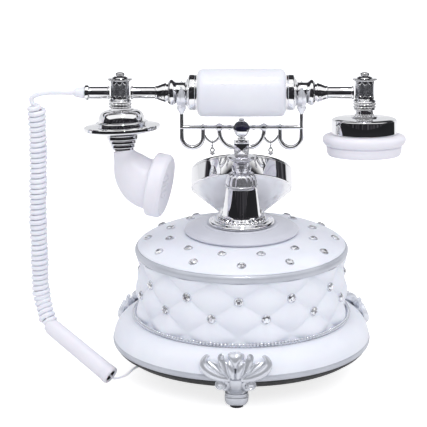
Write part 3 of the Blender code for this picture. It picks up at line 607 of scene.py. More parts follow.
def put(name, mesh, body, finish, place=None, replaces=()):
    """A finished piece on its body.
    The finish is a material slot of the record, or (slot, other material), whose slot is not used."""
    piece = linked(name, mesh)
    slot, material = finish if isinstance(finish, tuple) else (finish, MATERIALS[finish])
    if not mesh.materials:
        mesh.materials.append(material)
    piece.matrix_world = place if place is not None else Matrix.Identity(4)
    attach(piece, body)
    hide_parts(*replaces)
    return piece


# ---------------------------------------------------------------- base

QUILT_TURN = 1.5
QUILT_STEP = 30.0
QUILT_RISE = 29.4
UPPER_STONES = 83.8
LOWER_STONES = UPPER_STONES - QUILT_RISE / 2
STONE_RADIUS = 3.4


def drum_radius(height):
    share = (height - SKIRT_TOP) / (DRUM_TOP - SKIRT_TOP)
    return DRUM_RADIUS + (DRUM_TOP_RADIUS - DRUM_RADIUS) * share


def quilting(degrees, height):
    """Depth of the diamond quilting, from a crease at 0 to a pillow's middle at 1."""
    u = (degrees + QUILT_TURN) / QUILT_STEP
    v = (height - UPPER_STONES) / QUILT_RISE
    across = abs(math.sin(math.pi * (u + v))) * abs(math.sin(math.pi * (u - v)))
    soft = 0.05
    return (math.hypot(across, soft) - soft) ** 0.75


def skirt_point(turn):
    """(radius, height) of the bell-shaped skirt: turn 0 at the rim, 90 degrees at the drum."""
    inner = DRUM_RADIUS + 1.5
    return inner + (RIM_RADIUS - inner) * math.cos(turn), SKIRT_LOW + SKIRT_RISE * math.sin(turn)


def make_quilted_shell():
    """Drum with diamond quilting, and the skirt under it, as one hollow moulding."""
    columns, drum_rows, skirt_rows = 480, 68, 20
    crease, pillow = -2.4, 1.5
    rows = []
    for row in range(drum_rows + 1):
        height = DRUM_TOP - (DRUM_TOP - SKIRT_TOP) * row / drum_rows
        radii = []
        for column in range(columns):
            depth = quilting(360 * column / columns, height)
            radii.append(drum_radius(height) + crease + (pillow - crease) * depth)
        rows.append((radii, height))
    for row in range(skirt_rows + 1):
        radius, height = skirt_point(math.radians(90 - 90 * row / skirt_rows))
        rows.append(([radius] * columns, height))
    inside = [(RIM_RADIUS - SHELL_WALL, SKIRT_LOW), (RIM_RADIUS - 9, SKIRT_TOP - 5),
              (DRUM_RADIUS - SHELL_WALL, SKIRT_TOP), (DRUM_TOP_RADIUS - SHELL_WALL, DRUM_TOP)]
    rows += [([radius] * columns, height) for radius, height in inside]
    rings = []
    for radii, height in rows:
        ring = []
        for column, radius in enumerate(radii):
            angle = math.tau * column / columns - math.pi / 2
            ring.append(polar(radius, angle, height))
        rings.append(ring)
    put("quilted_shell", lofted(rings, closed=True), "base", "white_resin", BASE, ["base_shell"])


def make_deck():
    """White dome over the drum."""
    top = high("top_deck").z
    edge_low = low("top_deck").z
    dome = flowing([(5.3, top), (20, top), (46, top - 0.4), (59, top - 1.7), (67, top - 3.1), (74, top - 5.3),
                    (80.0, top - 8.3), (82.6, top - 10.0)], 5)
    under = [(83.2, edge_low), (80.4, edge_low), (73, edge_low + 2.9), (59, edge_low + 6.5),
             (5.3, edge_low + 8)]
    put("deck_dome", turned(dome + under, LARGE), "base", "white_resin", BASE, ["top_deck"])


def make_bands():
    """Silver mouldings at the rim and round the deck, and dark rings under the rim: black like the bottom
    plate, and painted shade for the shadow there.
    """
    base, top = low("rim_trim_ring").z, high("rim_trim_ring").z
    rim = rounded([
        (RIM_RADIUS + 0.2, top + 0.9, 0.5), (RIM_RADIUS + 0.9, top - 1.4, 1.6), (RIM_RADIUS - 0.3, base, 1.6),
        (92, base), (92, top - 3), (RIM_RADIUS - 3, top - 3), (RIM_RADIUS - 3, top + 0.2),
    ])
    put("rim_band", turned(rim, LARGE), "base", "silver_paint", BASE, ["rim_trim_ring"])
    plate = low("bottom_plate").z
    # dark rings under the rim: black like the bottom plate, and painted shade for the shadow under the rim
    gasket_and_shade = rounded([
        (101.6, base - 0.3, 0.4), (101.2, base - 1.6, 0.5), (99.6, base - 3.2), (98.4, base - 3.0),
        (99.0, base - 0.3),
    ], 3)
    put("rim_gasket_and_shade", turned(gasket_and_shade, LARGE), "base", "black_plastic", BASE)
    skirt = [(99.0, base - 3.6), (96.2, plate + 1.2), (94.8, plate + 0.1), (94.2, plate + 0.4),
             (98.2, base - 3.4)]
    put("plate_edge", turned(skirt, LARGE), "base", "black_plastic", BASE)
    base, top = low("deck_trim_ring").z, high("deck_trim_ring").z
    outer = half_width("deck_trim_ring")
    band = rounded([
        (outer - 1.0, top + 0.2, 0.5), (outer + 1.0, top - 1.8, 1.8), (outer + 0.3, base + 0.4, 1.4),
        (outer - 1.6, base - 0.4, 0.4), (79, base), (79, top - 2), (81.5, top),
    ])
    put("deck_band", turned(band, LARGE), "base", "silver_paint", BASE, ["deck_trim_ring"])


def make_bead_string():
    """String of small beads over a thin wire, round the drum's foot."""
    count, radius = 190, 1.4
    reach, height = DRUM_RADIUS + 1.7, SKIRT_TOP + 2.2
    bead = ball(radius, stretch=1.1, segments=10, rings=7)
    places = [spun(math.tau * k / count, "Z") @ at(reach, 0, height) for k in range(count)]
    string = copies(bead, places)
    thread = hoop(reach + 0.4, 0.35, LARGE, 8)
    thread.transform(at(0, 0, SKIRT_TOP + 0.45))
    put("bead_string", joined([string, thread]), "base", ("silver_paint", ORNAMENT), BASE, ["bead_trim"])


def stone_shape(radius):
    """Brilliant-cut stone: eight-sided table, crown facets, sixteen-sided girdle."""
    levels = [(0.52, 0.40, 8, 0.0), (0.80, 0.27, 8, 22.5), (1.0, 0.06, 16, 11.25), (1.0, -0.25, 16, 11.25)]
    rings, points = [], []
    for reach, height, count, turn in levels:
        ring = []
        for k in range(count):
            angle = math.tau * k / count + math.radians(turn)
            ring.append(len(points))
            points.append(polar(radius * reach, angle, radius * height))
        rings.append(ring)
    table, crown, girdle, foot = rings
    faces = [tuple(table), tuple(foot)]
    for k in range(8):
        n = (k + 1) % 8
        faces.append((table[k], crown[k], table[n]))
        faces.append((table[n], crown[k], crown[n]))
        faces.append((crown[k], girdle[2 * k], girdle[2 * k + 1]))
        faces.append((crown[k], girdle[2 * k + 1], crown[n]))
        faces.append((crown[n], girdle[2 * k + 1], girdle[(2 * k + 2) % 16]))
    for k in range(16):
        n = (k + 1) % 16
        faces.append((girdle[k], foot[k], foot[n], girdle[n]))
    return mesh_from(points, faces, smooth=False)


def set_stones(name, places):
    """Stones in slim silver settings, at places whose Z is the surface's normal."""
    stone = stone_shape(STONE_RADIUS)
    put(f"{name}_stones", copies(stone, places, smooth=False), "base", ("chrome", STONE), BASE)
    setting = turned(rounded([
        (STONE_RADIUS + 0.05, 0.25, 0.1), (STONE_RADIUS + 0.30, 0.0, 0.2), (STONE_RADIUS + 0.45, -1.5),
        (STONE_RADIUS - 0.2, -1.5), (STONE_RADIUS - 0.1, 0.1),
    ], 2), TINY)
    put(f"{name}_settings", copies(setting, places), "base", ("chrome", ORNAMENT), BASE)


def make_stones():
    """Two rows of twelve stones round the drum, and two round the deck."""
    places = []
    for height, shift in ((UPPER_STONES, 0.0), (LOWER_STONES, QUILT_STEP / 2)):
        for k in range(12):
            angle = math.radians(-90 - QUILT_TURN + shift + QUILT_STEP * k)
            outward = at(drum_radius(height) - 1.1, 0, height) @ tilted(90, "Y")
            spin = tilted(23 * k, "Z")
            places.append(spun(angle, "Z") @ outward @ spin)
    set_stones("drum", places)
    top = high("top_deck").z
    places = []
    for radius, drop, tilt, shift in ((75.0, 5.7, 24.0, 0.0), (59.0, 1.6, 7.5, QUILT_STEP / 2)):
        for k in range(12):
            angle = math.radians(-90 + shift + QUILT_STEP * k)
            lean = at(radius, 0, top - drop + 0.3) @ tilted(tilt, "Y")
            spin = tilted(17 * k, "Z")
            places.append(spun(angle, "Z") @ lean @ spin)
    set_stones("deck", places)


def make_underside():
    """Four low screw heads under the bottom plate, which itself is kept. Each has a narrow diamond-shaped
    groove where a slot would be."""
    screw = turned(rounded([(0, 0.5), (2.6, 0.3, 0.5), (3.0, -0.6), (0, -0.6)], 3), TINY)
    slot = turned([(0, 2), (2.6, 2), (2.6, -0.05), (0, -0.05)], 4)
    slot.transform(Matrix.Diagonal((1.0, 0.16, 1.0, 1.0)))
    screw = cut(screw, slot)
    places = []
    for k in range(4):
        angle = math.radians(45 + 90 * k)
        under = at(70, 0, low("bottom_plate").z) @ spun(math.pi, "X")
        places.append(spun(angle, "Z") @ under)
    put("plate_screws", copies(screw, places), "base", "steel", BASE)


# ---------------------------------------------------------------- feet

FOOT_NAMES = ("front", "left", "right")
SKIRT_ARC = 17.6
HOLLOW = [(-1.0, -1.8), (-1.0, 0.55), (-0.82, 0.95), (-0.5, 0.45), (0.0, 0.2), (0.5, 0.45), (0.82, 0.95),
          (1.0, 0.55), (1.0, -1.8), (0.0, -2.0)]
ROUND = [(-1.0, -1.8), (-1.0, -0.2), (-0.8, 0.45), (-0.42, 0.88), (0.0, 1.05), (0.42, 0.88), (0.8, 0.45),
         (1.0, -0.2), (1.0, -1.8), (0.0, -2.0)]
RIDGED = [(-1.0, -1.8), (-1.0, 0.1), (-0.75, 0.3), (-0.4, 0.35), (-0.12, 0.6), (0.0, 1.1), (0.12, 0.6),
          (0.4, 0.35), (0.75, 0.3), (1.0, 0.1), (1.0, -1.8), (0.0, -2.0)]

# Leaves on one side of a foot: (section, path of (across, up the skirt, lift, half width, thickness))
FOOT_LEAVES = [
    # outer blade with its curled tip, and the broad flat blade inside it
    (ROUND, [(4, -5.5, 2.4, 1.9, 1.4), (11.5, -3.6, 3.2, 2.9, 1.7), (18.0, -0.6, 3.6, 3.5, 1.9),
             (23.0, 3.8, 3.7, 3.5, 1.9), (25.4, 8.8, 3.8, 2.9, 1.7), (24.8, 13.2, 4.6, 2.2, 1.4),
             (22.6, 16.2, 5.8, 1.5, 1.1), (20.8, 15.4, 6.6, 0.8, 0.8)]),
    (RIDGED, [(5, -3.5, 2.4, 1.6, 1.2), (10, 1.0, 2.7, 3.2, 1.2), (15, 5.2, 2.5, 4.2, 1.2),
              (19.6, 9.0, 2.4, 3.4, 1.1), (22.4, 12.2, 2.6, 1.1, 0.8)]),
    # fold between it and the hooked leaf
    (ROUND, [(4.2, -3, 3.4, 1.2, 1.3), (9.0, 3.4, 3.8, 1.8, 1.4), (12.6, 8.2, 3.4, 1.6, 1.2),
             (14.2, 10.8, 2.8, 0.7, 0.8)]),
    # hooked leaf
    (HOLLOW, [(3.8, -3, 3.9, 1.3, 1.4), (6.4, 3.0, 4.7, 2.1, 1.5), (8.8, 8.5, 5.1, 2.7, 1.5),
              (10.6, 12.6, 5.6, 2.8, 1.4), (11.4, 15.2, 6.8, 2.4, 1.2), (10.6, 15.8, 8.2, 1.8, 1.0),
              (9.6, 14.4, 8.9, 1.0, 0.8)]),
    # petal under the bud
    (ROUND, [(1.7, -3.5, 4.6, 1.5, 1.5), (2.5, 2.0, 5.7, 2.3, 1.8), (3.6, 7.0, 6.1, 2.7, 1.9),
             (4.7, 11.0, 5.6, 2.3, 1.7), (5.2, 13.8, 4.6, 1.0, 1.1)]),
]

# How the leaves sit on the skirt: where their lowest point lands, and how much they are shortened above it
DRAWN_ROOT = -5.5
LEAF_ROOT = -1.0
LEAF_SHORTENING = 0.66


def on_skirt(across, up, lift):
    """A point over the skirt in front, across to the side and up along its curve, and the outward normal.
    Up is 0 at the top of the rim and negative on the rim."""
    turn = max(up, 0.0) / SKIRT_ARC
    radius, height = skirt_point(turn)
    outward, upward = math.cos(turn), math.sin(turn)
    radius += lift * outward
    height += lift * upward + min(up, 0.0)
    angle = across / RIM_RADIUS
    normal = Vector((outward * math.sin(angle), -outward * math.cos(angle), upward))
    return Vector((radius * math.sin(angle), -radius * math.cos(angle), height)), normal


def ribbed(ribs, depth, count=22):
    """Section of a rounded bud with ribs along it."""
    outline = []
    for k in range(count + 1):
        angle = math.pi * k / count
        reach = 1.0 - depth * (1.0 - abs(math.cos(ribs * angle / 2)))
        outline.append((-reach * math.cos(angle), 1.3 * reach * math.sin(angle)))
    return [(-1.0, -1.2)] + outline + [(1.0, -1.2)]


def leaf(path, section, steps=6):
    """A leaf over the skirt: path points are (across, up, lift, half width, thickness)."""
    points = flowing(path, steps)
    centres = [on_skirt(*point[:3]) for point in points]
    rings = []
    for index, (point, (centre, normal)) in enumerate(zip(points, centres)):
        behind, ahead = neighbours(centres, index)
        direction = (ahead[0] - behind[0]).normalized()
        across = normal.cross(direction).normalized()
        rings.append([centre + across * (u * point[3]) + normal * (h * point[4]) for u, h in section])
    return lofted(rings)


def make_fan():
    """Acanthus leaves that spread over the skirt, both sides alike, with a ribbed bud over the middle."""
    shapes = []
    for side in (-1, 1):
        for section, path in FOOT_LEAVES:
            placed = []
            for across, up, *rest in path:
                placed.append((side * across, LEAF_ROOT + LEAF_SHORTENING * (up - DRAWN_ROOT), *rest))
            shapes.append(leaf(placed, section))
    backing = [(0, 0, 0.9, 7, 1.0), (0, 3.6, 0.9, 14, 1.0), (0, 6.6, 0.9, 17, 1.0), (0, 9.2, 0.9, 13, 0.9)]
    shapes.append(leaf(backing, bulged(1.0, 1.0)))
    bud = [(0, 6.6, 4.4, 0.5, 1.0), (0, 8.6, 5.4, 2.2, 1.8), (0, 10.6, 5.8, 4.0, 2.4),
           (0, 12.6, 5.8, 5.6, 2.7), (0, 14.4, 5.4, 6.6, 2.7), (0, 15.9, 4.6, 6.2, 2.3),
           (0, 17.0, 3.6, 4.6, 1.8), (0, 17.7, 2.6, 1.8, 1.0)]
    shapes.append(leaf(bud, ribbed(5, 0.10)))
    return shapes


def make_leg():
    """Leg block with its collar, the neck that climbs to the fan, and the scrolls on both sides."""
    # (distance from the base's axis, height, half width, half depth)
    path = [(86.2, 2.3, 6.0, 5.0), (86.2, 2.9, 7.4, 6.0), (86.3, 4.6, 8.7, 6.9), (86.5, 7.0, 9.3, 7.3),
            (86.7, 9.4, 9.3, 7.3), (86.9, 10.8, 8.6, 6.7), (87.0, 11.8, 8.6, 6.7), (87.2, 12.6, 9.1, 7.1),
            (87.4, 13.8, 9.0, 7.0), (87.8, 14.8, 7.8, 6.1), (89.4, 17.0, 6.4, 5.6), (93.0, 20.0, 5.4, 5.2),
            (97.5, 22.8, 5.2, 4.8), (101.5, 26.0, 5.2, 4.2), (103.5, 29.5, 4.4, 3.2)]
    points = flowing(path, 3)
    rings = []
    for index, (reach, height, wide, deep) in enumerate(points):
        behind, ahead = neighbours(points, index)
        direction = Vector((0, -(ahead[0] - behind[0]), ahead[1] - behind[1])).normalized()
        up = direction.cross(Vector((1, 0, 0)))
        centre = Vector((0, -reach, height))
        outline = bulged(wide, deep, power=0.62, count=28)
        rings.append([centre + Vector((across, 0, 0)) + up * out for across, out in outline])
    shapes = [lofted(rings)]
    for side in (-1, 1):
        shapes.append(ball(3.3, (side * 11.9, -102.3, 24.2)))
        shapes.append(ball(2.1, (side * 8.6, -99.6, 19.6)))
        scroll = hoop(3.2, 1.0, SMALL, 10)
        scroll.transform(at(side * 11.9, -104.3, 24.2) @ tilted(68, "X"))
        shapes.append(scroll)
        strap = [(side * 14.6, -102.6, 27.0), (side * 9.5, -103.4, 28.2), (side * 6.2, -101.8, 24.0),
                 (side * 6.6, -97.5, 19.5), (side * 7.4, -92.5, 15.6)]
        shapes.append(swept(flowing(strap, 5), 1.5, 12))
    return shapes


def make_feet():
    """The cast is the same for the three feet; each stands where its CAD node does."""
    voxel = 0.36 * MM
    cast = worked(
        joined(make_fan() + make_leg()),
        ("REMESH", {"mode": "VOXEL", "voxel_size": voxel}),
        ("SMOOTH", {"factor": 0.5, "iterations": 2}),
    )
    pad_radius = half_width("foot_pad_front")
    pad_top = high("foot_pad_front").z
    pad = turned(rounded([(0, pad_top), (pad_radius - 0.3, pad_top, 0.4), (pad_radius, pad_top / 2, 0.7),
                          (pad_radius - 0.4, 0, 0.5), (0, 0)], 4), SMALL)
    for name in FOOT_NAMES:
        towards = middle(f"foot_pad_{name}") - AXIS
        facing = math.atan2(towards.y, towards.x) + math.pi / 2
        turn = BASE @ spun(facing, "Z")
        # the side feet's paler finish is painted light
        finish = ORNAMENT if name == "front" else PAINTED_LIGHT_ORNAMENT
        put(f"leaf_foot_{name}", cast.copy(), "base", ("silver_paint", finish), turn, [f"foot_{name}"])
        place = at(*middle(f"foot_pad_{name}")) @ at(0, 0, -pad_top / 2)
        put(f"felt_pad_{name}", pad.copy(), "base", "felt", place, [f"foot_pad_{name}"])


# ---------------------------------------------------------------- column

def make_pedestal():
    """Pearl disc that stands on the deck: flat top, dome and lip."""
    top = high("pedestal_disc").z - low("pedestal_disc").z
    edge = half_width("pedestal_disc")
    upper = rounded([(5.3, top - 0.3), (27.0, top - 0.3, 0.2), (27.6, top + 0.2, 0.4), (29.6, top + 0.2, 0.6),
                     (30.4, top - 0.6, 0.5)], 4)
    dome = flowing([(31.2, top - 0.75), (36.5, top - 1.5), (41.0, top - 2.6), (43.6, top - 3.9)], 5)
    lip = flowing([(44.6, top - 4.3), (edge - 0.2, top - 5.0), (edge, top - 5.7), (edge - 0.7, top - 6.6)], 4)
    put("pedestal", turned(upper + dome + lip + [(44.6, 0), (5.3, 0)], LARGE), "base",
        ("silver_paint", PEARL), standing("pedestal_disc"), ["pedestal_disc"])


def lobes(angle, count, depth, power):
    """Change of radius that leaves rounded lobes; a smaller power makes the grooves between them sharper."""
    return depth * (abs(math.cos(count * angle / 2)) ** power - 1.0)


def scallops(count, depth, first, last):
    """Ripple of rounded lobes between two heights."""
    def ripple(angle, radius, height):
        return lobes(angle, count, depth, 0.6) if first <= height <= last else 0.0
    return ripple


def softened(mesh):
    """A coarse mesh subdivided once."""
    return worked(mesh, ("SUBSURF", {"levels": 1, "render_levels": 1}))


def make_column():
    """Chrome foot with rings and a scalloped collar, and the tapering column."""
    top = high("column").z - low("column").z
    foot = rounded([(5.4, 0), (26.0, 0, 0.4), (26.4, 1.2, 0.6), (25.4, 2.3, 0.5), (22.6, 2.5, 0.3),
                    (22.2, 3.2, 0.3), (20.6, 3.4, 0.3)], 4)
    collar = flowing([(19.8, 3.5), (19.2, 4.4), (17.9, 5.3), (16.4, 5.9)], 4)
    cone = rounded([(15.6, 6.0, 0.2), (14.9, 7.3, 0.5), (12.35, top - 0.6, 0.3), (11.9, top), (3.0, top)], 4)
    mesh = turned(foot + collar + cone, LARGE, scallops(30, 1.1, 3.45, 5.95))
    put("column_shaft", mesh, "base", "chrome", standing("column"), ["column"])


def make_capital():
    """Collar ring, fluted dome, standing petals and inverted bell."""
    flutes = 14

    def fluting(angle, radius, height):
        return lobes(angle, flutes, 0.75, 0.8) if 2.1 < height < 10.8 else 0.0

    collar = rounded([(2.9, 0), (12.4, 0, 0.2), (13.3, 0.6, 0.5), (13.3, 1.3, 0.5), (12.7, 1.9, 0.2)], 4)
    dome = flowing([(12.6, 2.15), (12.5, 4.0), (11.9, 6.4), (10.9, 8.8), (9.6, 10.4), (7.4, 11.2),
                    (5.6, 11.5)], 5)
    cup = flowing([(5.2, 11.9), (5.3, 13.2), (4.9, 15.4), (4.2, 17.0)], 4)
    neck = rounded([(4.0, 17.4), (4.9, 17.7, 0.3), (4.9, 18.3, 0.3), (4.3, 18.7)], 3)
    bell = flowing([(4.6, 19.0), (5.8, 19.9), (8.2, 21.2), (10.6, 22.6)], 4)
    lip = rounded([(11.2, 23.1, 0.3), (11.1, 24.1, 0.5), (9.4, 24.7, 0.6), (2.9, 24.7)], 4)
    mesh = turned(collar + dome + cup + neck + bell + lip, LARGE, fluting)
    petal = softened(leaf_petal())
    count = 8
    places = [spun(math.tau * (k + 0.5) / count - math.pi / 2, "Z") @ at(4.9, 0, 11.0)
              for k in range(count)]
    put("capital", joined([mesh, copies(petal, places)]), "base", ("chrome", CAST),
        standing("column_capital"), ["column_capital"])


def leaf_petal():
    """A small petal that stands up, swells outward and curls over."""
    # (outward, height, half width, half thickness)
    spine = [(0.6, 0.0, 1.3, 0.7), (1.7, 1.1, 1.9, 0.75), (2.3, 2.6, 2.1, 0.7), (2.5, 4.0, 1.7, 0.6),
             (3.0, 5.0, 1.0, 0.5), (3.6, 5.1, 0.4, 0.35)]
    points = flowing(spine, 3)
    rings = []
    for index, (out, height, wide, thick) in enumerate(points):
        behind, ahead = neighbours(points, index)
        direction = Vector((ahead[0] - behind[0], 0, ahead[1] - behind[1])).normalized()
        normal = Vector((direction.z, 0, -direction.x))
        centre = Vector((out, 0, height))
        outline = bulged(wide, thick, 1.0, 10)
        rings.append([centre + Vector((0, across, 0)) + normal * up for across, up in outline])
    return lofted(rings)


# ---------------------------------------------------------------- dial

FINGER_HOLES = 10
HOLE_RADIUS = 5.6
HOLE_REACH = 26.0
FIRST_HOLE = math.radians(-150)
HOLE_STEP = math.radians(30)
STOP_ANGLE = math.radians(150)
WHEEL_RADIUS = 34.5


def make_dial_cup():
    """Bowl-backed cup, cut where the column passes through its neck."""
    outer = rounded([(DIAL_RADIUS - 0.1, 0, 0.3), (DIAL_RADIUS, -13.8, 0.5),
                     (DIAL_RADIUS - 1.0, -14.9, 0.4)], 4)
    bowl = [(36.5, -18.4), (32.0, -22.0), (27.5, -25.6), (23.5, -28.8), (21.2, -30.6)]
    neck = flowing([(20.8, -31.0), (18.6, -33.8), (17.7, -38.0), (17.6, -46.0)], 4)
    inner = [(0, -46.0), (0, -29.0), (16, -28), (26, -23.5), (34.5, -17.5), (DIAL_RADIUS - 2, -12.5),
             (DIAL_RADIUS - 2, 0)]
    shell = turned(outer + bowl + neck + inner[:1], LARGE)
    hollow = turned([(0, 5.0), (DIAL_RADIUS - 2, 5.0)] + inner[:0:-1][1:] + [(0, -29.0)], LARGE)
    shell = cut(shell, hollow)
    clear = 0.3
    floor = low("pedestal_disc").z
    column = [(0, high("column_capital").z)]
    column += [(11.5, high("column_capital").z), (11.5, 176.0), (9.2, 172.0), (9.2, 164.5), (13.2, 160.5),
               (13.2, 150.0), (15.1, 131.5), (20.5, 130.6), (21.5, 128.0), (26.9, 127.2)]
    column += [(26.9, high("pedestal_disc").z + clear + 0.3), (38.3, 123.5), (43.8, 121.9), (46.2, 120.1),
               (46.2, floor), (70, floor), (70, 90), (0, 90)]
    cutter = turned(column, MEDIUM)
    cutter.transform(DIAL.inverted() @ BASE)
    put("dial_bowl", cut(shell, cutter), "base", ("chrome", BOWL), DIAL, ["dial_cup"])


def make_number_plate():
    """Bezel, white plate with its digits, and the finger stop."""
    top = 3.2
    bezel = rounded([(36.8, top - 0.4, 0.3), (37.6, top, 0.4), (DIAL_RADIUS - 1.6, top, 0.9),
                     (DIAL_RADIUS - 0.3, top - 1.4, 0.6), (DIAL_RADIUS - 0.2, 0.1, 0.2), (36.8, 0.1)], 4)
    put("bezel", turned(bezel, LARGE), "base", "chrome", DIAL, ["dial_bezel"])
    plate = rounded([(2.9, -0.4), (18.0, -0.4, 0.2), (18.3, -0.7, 0.2), (33.4, -0.7, 0.2), (33.8, -0.3, 0.2),
                     (36.4, -0.3, 0.2), (36.4, -2.0), (2.9, -2.0)], 3)
    put("dial_plate", turned(plate, MEDIUM), "base", "white_plastic", DIAL, ["number_plate"])
    digits = []
    plate_face = -0.66
    for index in range(FINGER_HOLES):
        angle = FIRST_HOLE + HOLE_STEP * index
        digits.append(digit_mesh(str((index + 1) % 10), at(*polar(HOLE_REACH, angle, plate_face))))
    put("dial_digits", joined(digits, smooth=False), "base", ("black_plastic", INK), DIAL)
    out = Vector(polar(1, STOP_ANGLE))
    # (reach, height, half thickness)
    hook = [(39.2, 3.4, 1.6), (38.2, 4.6, 1.5), (34, 5.0, 1.2), (29, 5.1, 1.1), (24, 5.1, 1.2),
            (20.6, 4.9, 1.0)]
    points = flowing(hook, 5)
    rod = swept([out * reach + Vector((0, 0, height)) for reach, height, _ in points],
                [thick * 0.75 for _, _, thick in points], 16)
    put("stop_hook", rod, "base", "chrome", DIAL, ["finger_stop"])


def digit_mesh(text, place):
    """A printed digit, a thin raised shape centred at a place of the dial."""
    size, thickness = 7.2, 0.05
    curve = bpy.data.curves.new("digit", "FONT")
    curve.body = text
    curve.align_x = "CENTER"
    curve.align_y = "CENTER"
    curve.size = size * MM
    curve.extrude = thickness * MM
    mesh = baked(linked("digit", curve))
    mesh.transform(place)
    return mesh


def make_finger_wheel():
    """White finger wheel with rolled hole edges, and its domed chrome hub."""
    curve = bpy.data.curves.new("wheel", "CURVE")
    curve.dimensions = "2D"
    curve.fill_mode = "BOTH"
    curve.resolution_u = 24
    # rounding of every edge, half the wheel's thickness, and its height over the dial
    soft, half_thick, wheel_height = 0.45, 0.9, 2.3
    curve.bevel_depth = soft * MM
    curve.bevel_resolution = 3
    curve.offset = -soft * MM
    curve.extrude = (half_thick - soft) * MM
    circles = [(0, 0, WHEEL_RADIUS), (0, 0, 3.4)]
    for index in range(FINGER_HOLES):
        angle = FIRST_HOLE + HOLE_STEP * index
        circles.append((*polar(HOLE_REACH, angle)[:2], HOLE_RADIUS))
    for x, y, radius in circles:
        add_circle(curve, x, y, radius)
    mesh = shaded(baked(linked("wheel", curve)))
    mesh.transform(at(0, 0, wheel_height))
    put("wheel", mesh, "dial", "white_plastic", DIAL, ["finger_wheel"])
    hub = rounded([(0, 6.3), (4.6, 6.2, 0.4), (5.2, 5.6, 0.3), (6.0, 5.7, 0.4), (11.8, 5.0, 1.2),
                   (13.4, 4.2, 0.5), (13.5, 3.5, 0.2), (3.1, 3.5), (3.1, 0.4), (2.5, 0.3), (2.5, -13.6),
                   (0, -13.6)], 4)
    put("wheel_hub", turned(hub, MEDIUM), "dial", "chrome", DIAL, ["dial_spindle"])


def add_circle(curve, x, y, radius):
    """A round spline of four Bezier points."""
    handle = radius * CIRCLE_HANDLE
    spline = curve.splines.new("BEZIER")
    spline.bezier_points.add(3)
    spline.use_cyclic_u = True
    for k, point in enumerate(spline.bezier_points):
        out = Vector(polar(1, math.radians(90 * k)))
        along = Vector((-out.y, out.x, 0))
        centre = Vector((x, y, 0)) + out * radius
        point.co = centre * MM
        point.handle_left = (centre - along * handle) * MM
        point.handle_right = (centre + along * handle) * MM


# ---------------------------------------------------------------- cradle

def make_cradle_post():
    """Faceted post like a twisted square block with its upright facets polished, its cap and neck,
    and the ball."""
    foot = low("cradle_post").z
    rings = []
    for height, half, turn in ((0.0, 5.0, 0.0), (0.5, 5.4, 0.0), (5.6, 6.3 / math.sqrt(2), 45.0),
                               (11.2, 6.3, 0.0), (11.5, 6.0, 0.0)):
        corner = half * math.sqrt(2)
        ring = []
        for k in range(4):
            angle = math.radians(45 + 90 * k + turn)
            ring.append(polar(corner, angle, height))
        rings.append(ring)
    block = faceted(rings)
    block.materials.append(CAST)
    block.materials.append(MATERIALS["chrome"])
    for polygon in block.polygons:
        upright = abs(polygon.normal.z) < 0.12
        polygon.material_index = 1 if upright and polygon.center.z > 5.6 * MM else 0
    neck = turned(rounded([(0, 11.2), (4.8, 11.2, 0.3), (5.0, 12.0, 0.4), (3.2, 12.5, 0.2), (2.7, 13.0, 0.2),
                           (3.7, 13.7, 0.5), (2.9, 14.7, 0.3), (0, 14.9)], 3), SMALL)
    place = at(AXIS.x, AXIS.y, foot)
    put("post_block", block, "cradle", ("chrome", CAST), place, ["cradle_post"])
    put("post_neck", neck, "cradle", "chrome", place)
    centre = at(AXIS.x, AXIS.y, BALL_HEIGHT)
    round_ball = ball(BALL_RADIUS, segments=MEDIUM, rings=48)
    put("cradle_ball_gem", round_ball, "cradle", ("chrome", gem("ball_finish", 0.0002, 0.0001)), centre,
        ["cradle_ball"])
    nub = rounded([(0, 8.6), (2.3, 8.5, 0.6), (2.5, 7.4, 0.4), (1.7, 7.0, 0.2), (2.6, 6.6, 0.2), (2.6, 6.1),
                   (0, 6.1)], 3)
    put("ball_nub", turned(nub, SMALL), "cradle", "chrome", centre)


def faceted(rings):
    """Solid through rings of four corners: straight sides between the first two and the last two, and flat
    triangles between the others, where each ring is turned half a step from the one before."""
    points = [corner for ring in rings for corner in ring]
    faces = [(0, 1, 2, 3), tuple(len(points) - 4 + k for k in range(4))]
    for row in range(len(rings) - 1):
        for k in range(4):
            n = (k + 1) % 4
            here, beside = row * 4 + k, row * 4 + n
            above, over = here + 4, beside + 4
            straight = row in (0, len(rings) - 2)
            if straight:
                faces.append((here, beside, over, above))
            elif row == 1:
                faces.append((here, beside, above))
                faces.append((beside, over, above))
            else:
                before = row * 4 + (k - 1) % 4
                faces.append((here, over, above))
                faces.append((before, here, above))
    return mesh_from(points, faces, smooth=False)


def arc(centre_x, centre_z, across, up, first, last, count):
    """Points of an elliptic arc in the XZ plane, angles in degrees from +X towards +Z."""
    points = []
    for step in range(count + 1):
        angle = math.radians(first + (last - first) * step / count)
        points.append((centre_x + across * math.cos(angle), 0, centre_z + up * math.sin(angle)))
    return points


